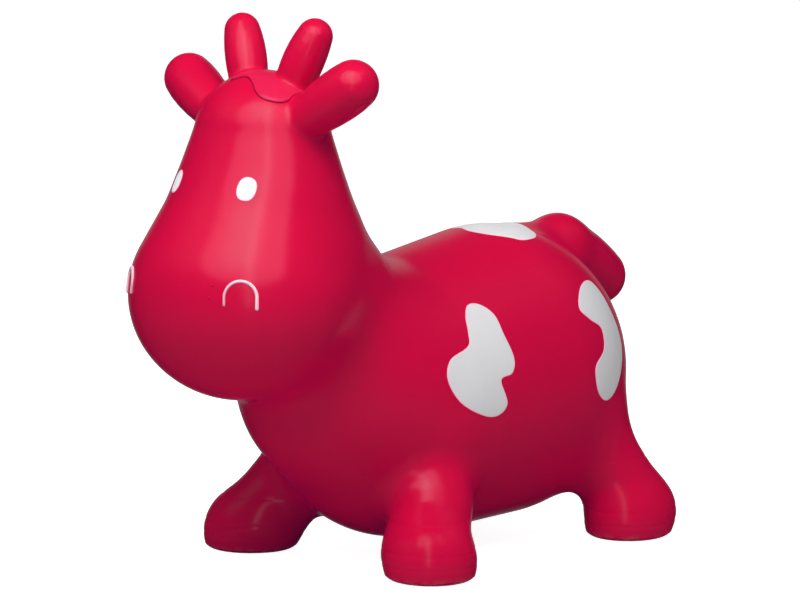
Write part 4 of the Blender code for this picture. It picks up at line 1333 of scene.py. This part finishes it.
# %% Gather the dust
DUST_COLOUR = (0.36, 0.30, 0.26)
DUST_HEIGHT = 0.009
DUST_WAVES = 160
DUST_EDGES = (0.35, 0.75)
DUST_ROUGHENING = 0.4
dust, given = effect("floor_dust", ("Color", "Roughness", "Place", "Amount"),
                     ("Color", "Roughness"))
level = add_node(dust, "ShaderNodeSeparateXYZ", (given["Place"],))["Z"]
patchy = ramp(dust, noise(dust, given["Place"], DUST_WAVES), *DUST_EDGES)
gathered = arithmetic(dust, "MULTIPLY", ramp(dust, level, 0, DUST_HEIGHT, 1, 0), patchy)
gathered = arithmetic(dust, "MULTIPLY", gathered, given["Amount"], clamp=True)
painted = mixed(dust, gathered, given["Color"], DUST_COLOUR)
rough = arithmetic(dust, "MULTIPLY_ADD", gathered, DUST_ROUGHENING, given["Roughness"])
add_node(dust, "NodeGroupOutput", (painted, rough))
print(dust.name, len(dust.nodes), "nodes")

# %% [markdown]
# Every finish then is a chain: colour, drift, gloss, dust and grain, into one Principled shader.
# Only the crimson skin gathers dust.
# The crimson skin is soft vinyl, glossy but not sharp, with a faint purple emission: painted fill
# light that tints its shade purple. The tuft's crimson is paler, a painted highlight, and darker
# along its edge, a painted shade. The pale marks are sprayed paint, which is duller, and near their
# edges the spray thins out, so the crimson below turns the rim pink.

# %% Chain the effects
COLOUR_DRIFT = 0.04
GLOSS_DRIFT = 0.02
GRAIN_STRENGTH = 0.06
GRAIN_DEPTH = 0.0002


def finish_named(name, colour, roughness, specular, colour_drift=COLOUR_DRIFT,
                 floor_dust=0, repaint=None, glow=(0, 0, 0)):
    """A material made of the shared effects; repaint may change the colour before them, and glow is
    an emission that paints light on the finish.
    """
    material = bpy.data.materials.new(name)
    material.use_nodes = True
    material.diffuse_color = (*colour, 1)
    tree = material.node_tree
    shader = tree.nodes["Principled BSDF"]
    place = add_node(tree, "ShaderNodeTexCoord")["Object"]

    def with_effect(group, **inputs):
        return add_node(tree, "ShaderNodeGroup", {"Place": place, **inputs}, node_tree=group)

    painted = colour if repaint is None else repaint(tree, colour)
    painted = with_effect(drift, Color=painted, Amount=colour_drift)["Color"]
    rough = with_effect(gloss, Roughness=roughness, Amount=GLOSS_DRIFT)["Roughness"]
    if floor_dust:
        painted, rough = with_effect(dust, Color=painted, Roughness=rough, Amount=floor_dust)
    tree.links.new(painted, shader.inputs["Base Color"])
    tree.links.new(rough, shader.inputs["Roughness"])
    normal = with_effect(grain, Strength=GRAIN_STRENGTH, Depth=GRAIN_DEPTH)["Normal"]
    tree.links.new(normal, shader.inputs["Normal"])
    shader.inputs["Specular IOR Level"].default_value = specular
    shader.inputs["Emission Color"].default_value = (*glow, 1)
    shader.inputs["Emission Strength"].default_value = 1
    return material


def by_attribute(name, low, high, other):
    """A repaint that turns to another colour where an attribute falls from high to low."""
    def repaint(tree, colour):
        value = add_node(tree, "ShaderNodeAttribute", attribute_name=name)["Fac"]
        return mixed(tree, ramp(tree, value, low, high, 1, 0), colour, other)
    return repaint


print("finish helpers ready")

# %% Mix the finishes
CRIMSON = (0.585, 0.0030, 0.030)
# The tuft's crimson is paler than the skin's: a painted highlight on the tuft.
TUFT_CRIMSON_PAINTED_HIGHLIGHT = (0.60, 0.012, 0.050)
PATCH_GREY = (0.72, 0.71, 0.68)
EYE_WHITE = (0.93, 0.93, 0.93)
NOSTRIL_WHITE = (0.95, 0.62, 0.66)
RUBBED_PINK = (0.90, 0.42, 0.50)
NOSTRIL_TURN = (0.12, 0.42)
RIM_PINK = (0.95, 0.52, 0.60)
RIM_WIDTH = 0.0014
# Along the tuft's edge the crimson turns dark: painted shade in the crease where the tuft meets the
# skin.
TUFT_PAINTED_SHADE_WIDTH = 0.0017
TUFT_EDGE_PAINTED_SHADE = (0.36, 0.001, 0.018)
RUBBER = (0.74, 0.76, 0.75)
# A faint purple emission on the crimson finishes: painted fill light that tints the shade purple.
PAINTED_PURPLE_FILL_LIGHT = (0.003, 0, 0.015)
# Roughness and specular level of each finish.
VINYL_GLOSS = (0.21, 0.24)
GREY_GLOSS = (0.42, 0.35)
WHITE_GLOSS = (0.38, 0.35)
PINK_GLOSS = (0.40, 0.35)
RUBBER_GLOSS = (0.50, 0.30)
EYE_DRIFT = 0.02
DUST_AMOUNT = 0.25

crimson_vinyl = finish_named("crimson_vinyl", CRIMSON, *VINYL_GLOSS, floor_dust=DUST_AMOUNT,
                             glow=PAINTED_PURPLE_FILL_LIGHT)
# The tuft's finish paints light: a highlight over the tuft and shade along its edge.
tuft_vinyl_painted_light = finish_named("tuft_vinyl_painted_light", TUFT_CRIMSON_PAINTED_HIGHLIGHT, *VINYL_GLOSS, glow=PAINTED_PURPLE_FILL_LIGHT,
                          repaint=by_attribute("from_edge", 0, TUFT_PAINTED_SHADE_WIDTH, TUFT_EDGE_PAINTED_SHADE))
grey_paint = finish_named("grey_paint", PATCH_GREY, *GREY_GLOSS,
                          repaint=by_attribute("from_edge", 0, RIM_WIDTH, RIM_PINK))
white_paint = finish_named("white_paint", EYE_WHITE, *WHITE_GLOSS, colour_drift=EYE_DRIFT,
                           repaint=by_attribute("from_edge", 0, RIM_WIDTH, RUBBED_PINK))
pink_paint = finish_named("pink_paint", NOSTRIL_WHITE, *PINK_GLOSS,
                          repaint=by_attribute("along_ridge", *NOSTRIL_TURN, RUBBED_PINK))
valve_rubber = finish_named("valve_rubber", RUBBER, *RUBBER_GLOSS)
print("materials:", [material.name for material in bpy.data.materials])

# %% [markdown]
# ## Dress the cow and hand it to the frame
# Every piece gets its finish, and the CAD nodes that it stands for are hidden. All pieces but the
# zones of the skin ride on the body that they move with. Light linking keeps the mirrored panel off
# the legs.

# %% Dress and hand over
SOLE_RINGS = 3
SOLE_RING_RADIUS = 0.009
SOLE_RING_STEP = 0.008
SOLE_WIRE = 0.0009
SEAL_RINGS = 3
SEAL_WIRE = 0.0006
SEAL_PITCH = -PLUG_STEM_LENGTH / (SEAL_RINGS + 1)


def dress(made, material, slot_name, *nodes, body="body"):
    """Give a piece its finish, hide its CAD nodes, and attach it to the body that it rides on if it
    has one. The slot name is not used.
    """
    made.data.materials.clear()
    made.data.materials.append(material)
    if nodes:
        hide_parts(*nodes)
    if body:
        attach(made, body)


dress(body_skin, crimson_vinyl, "crimson_vinyl", "trunk_skin", "head_skin")
for name, made in zone_pieces.items():
    zone = zones[name]
    dress(made, crimson_vinyl, "crimson_vinyl", *zone.nodes, body=None)
    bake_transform(made)
for made in pips:
    dress(made, crimson_vinyl, "crimson_vinyl")
finishes = {"eye": (white_paint, "white_paint"), "patch": (grey_paint, "grey_paint"),
            "nostril": (pink_paint, "pink_paint"), "forelock": (tuft_vinyl_painted_light, "crimson_vinyl")}
for node, made in marks.items():
    dress(made, *finishes[node.split("_")[0]], node)
dress(valve_seat, valve_rubber, "valve_rubber", "valve_seat")
dress(valve_plug, valve_rubber, "valve_rubber", "valve_plug", body="plug")
seal_rings = ring_rows("sealing_rings", [plug_frame @ Vector((0, 0, SEAL_PITCH))], valve_rubber,
                       count=SEAL_RINGS, first_radius=PLUG_STEM_RADIUS, radius_step=0.0,
                       spacing=SEAL_PITCH, wire_radius=SEAL_WIRE, direction=tuple(valve_out))
dress(seal_rings, valve_rubber, "valve_rubber", body="plug")
sole_places = [foot.centre * (sign, 1, 0) + (0, 0, SOLE_WIRE)
               for _, _, foot in LEGS.values() for sign in SIDES.values()]
sole_ribs = ring_rows("sole_grip_ribs", sole_places, crimson_vinyl, count=SOLE_RINGS,
                      first_radius=SOLE_RING_RADIUS, radius_step=SOLE_RING_STEP, spacing=0.0,
                      wire_radius=SOLE_WIRE, direction=(0, 0, 1))
dress(sole_ribs, crimson_vinyl, "crimson_vinyl", body="feet")
unlit_by_panel = bpy.data.collections.new("unlit_by_panel")
for name, made in zone_pieces.items():
    if name.startswith("leg"):
        unlit_by_panel.objects.link(made)
for choice in unlit_by_panel.collection_objects:
    choice.light_linking.link_state = "EXCLUDE"
glow_panel.light_linking.receiver_collection = unlit_by_panel
bpy.context.view_layer.update()
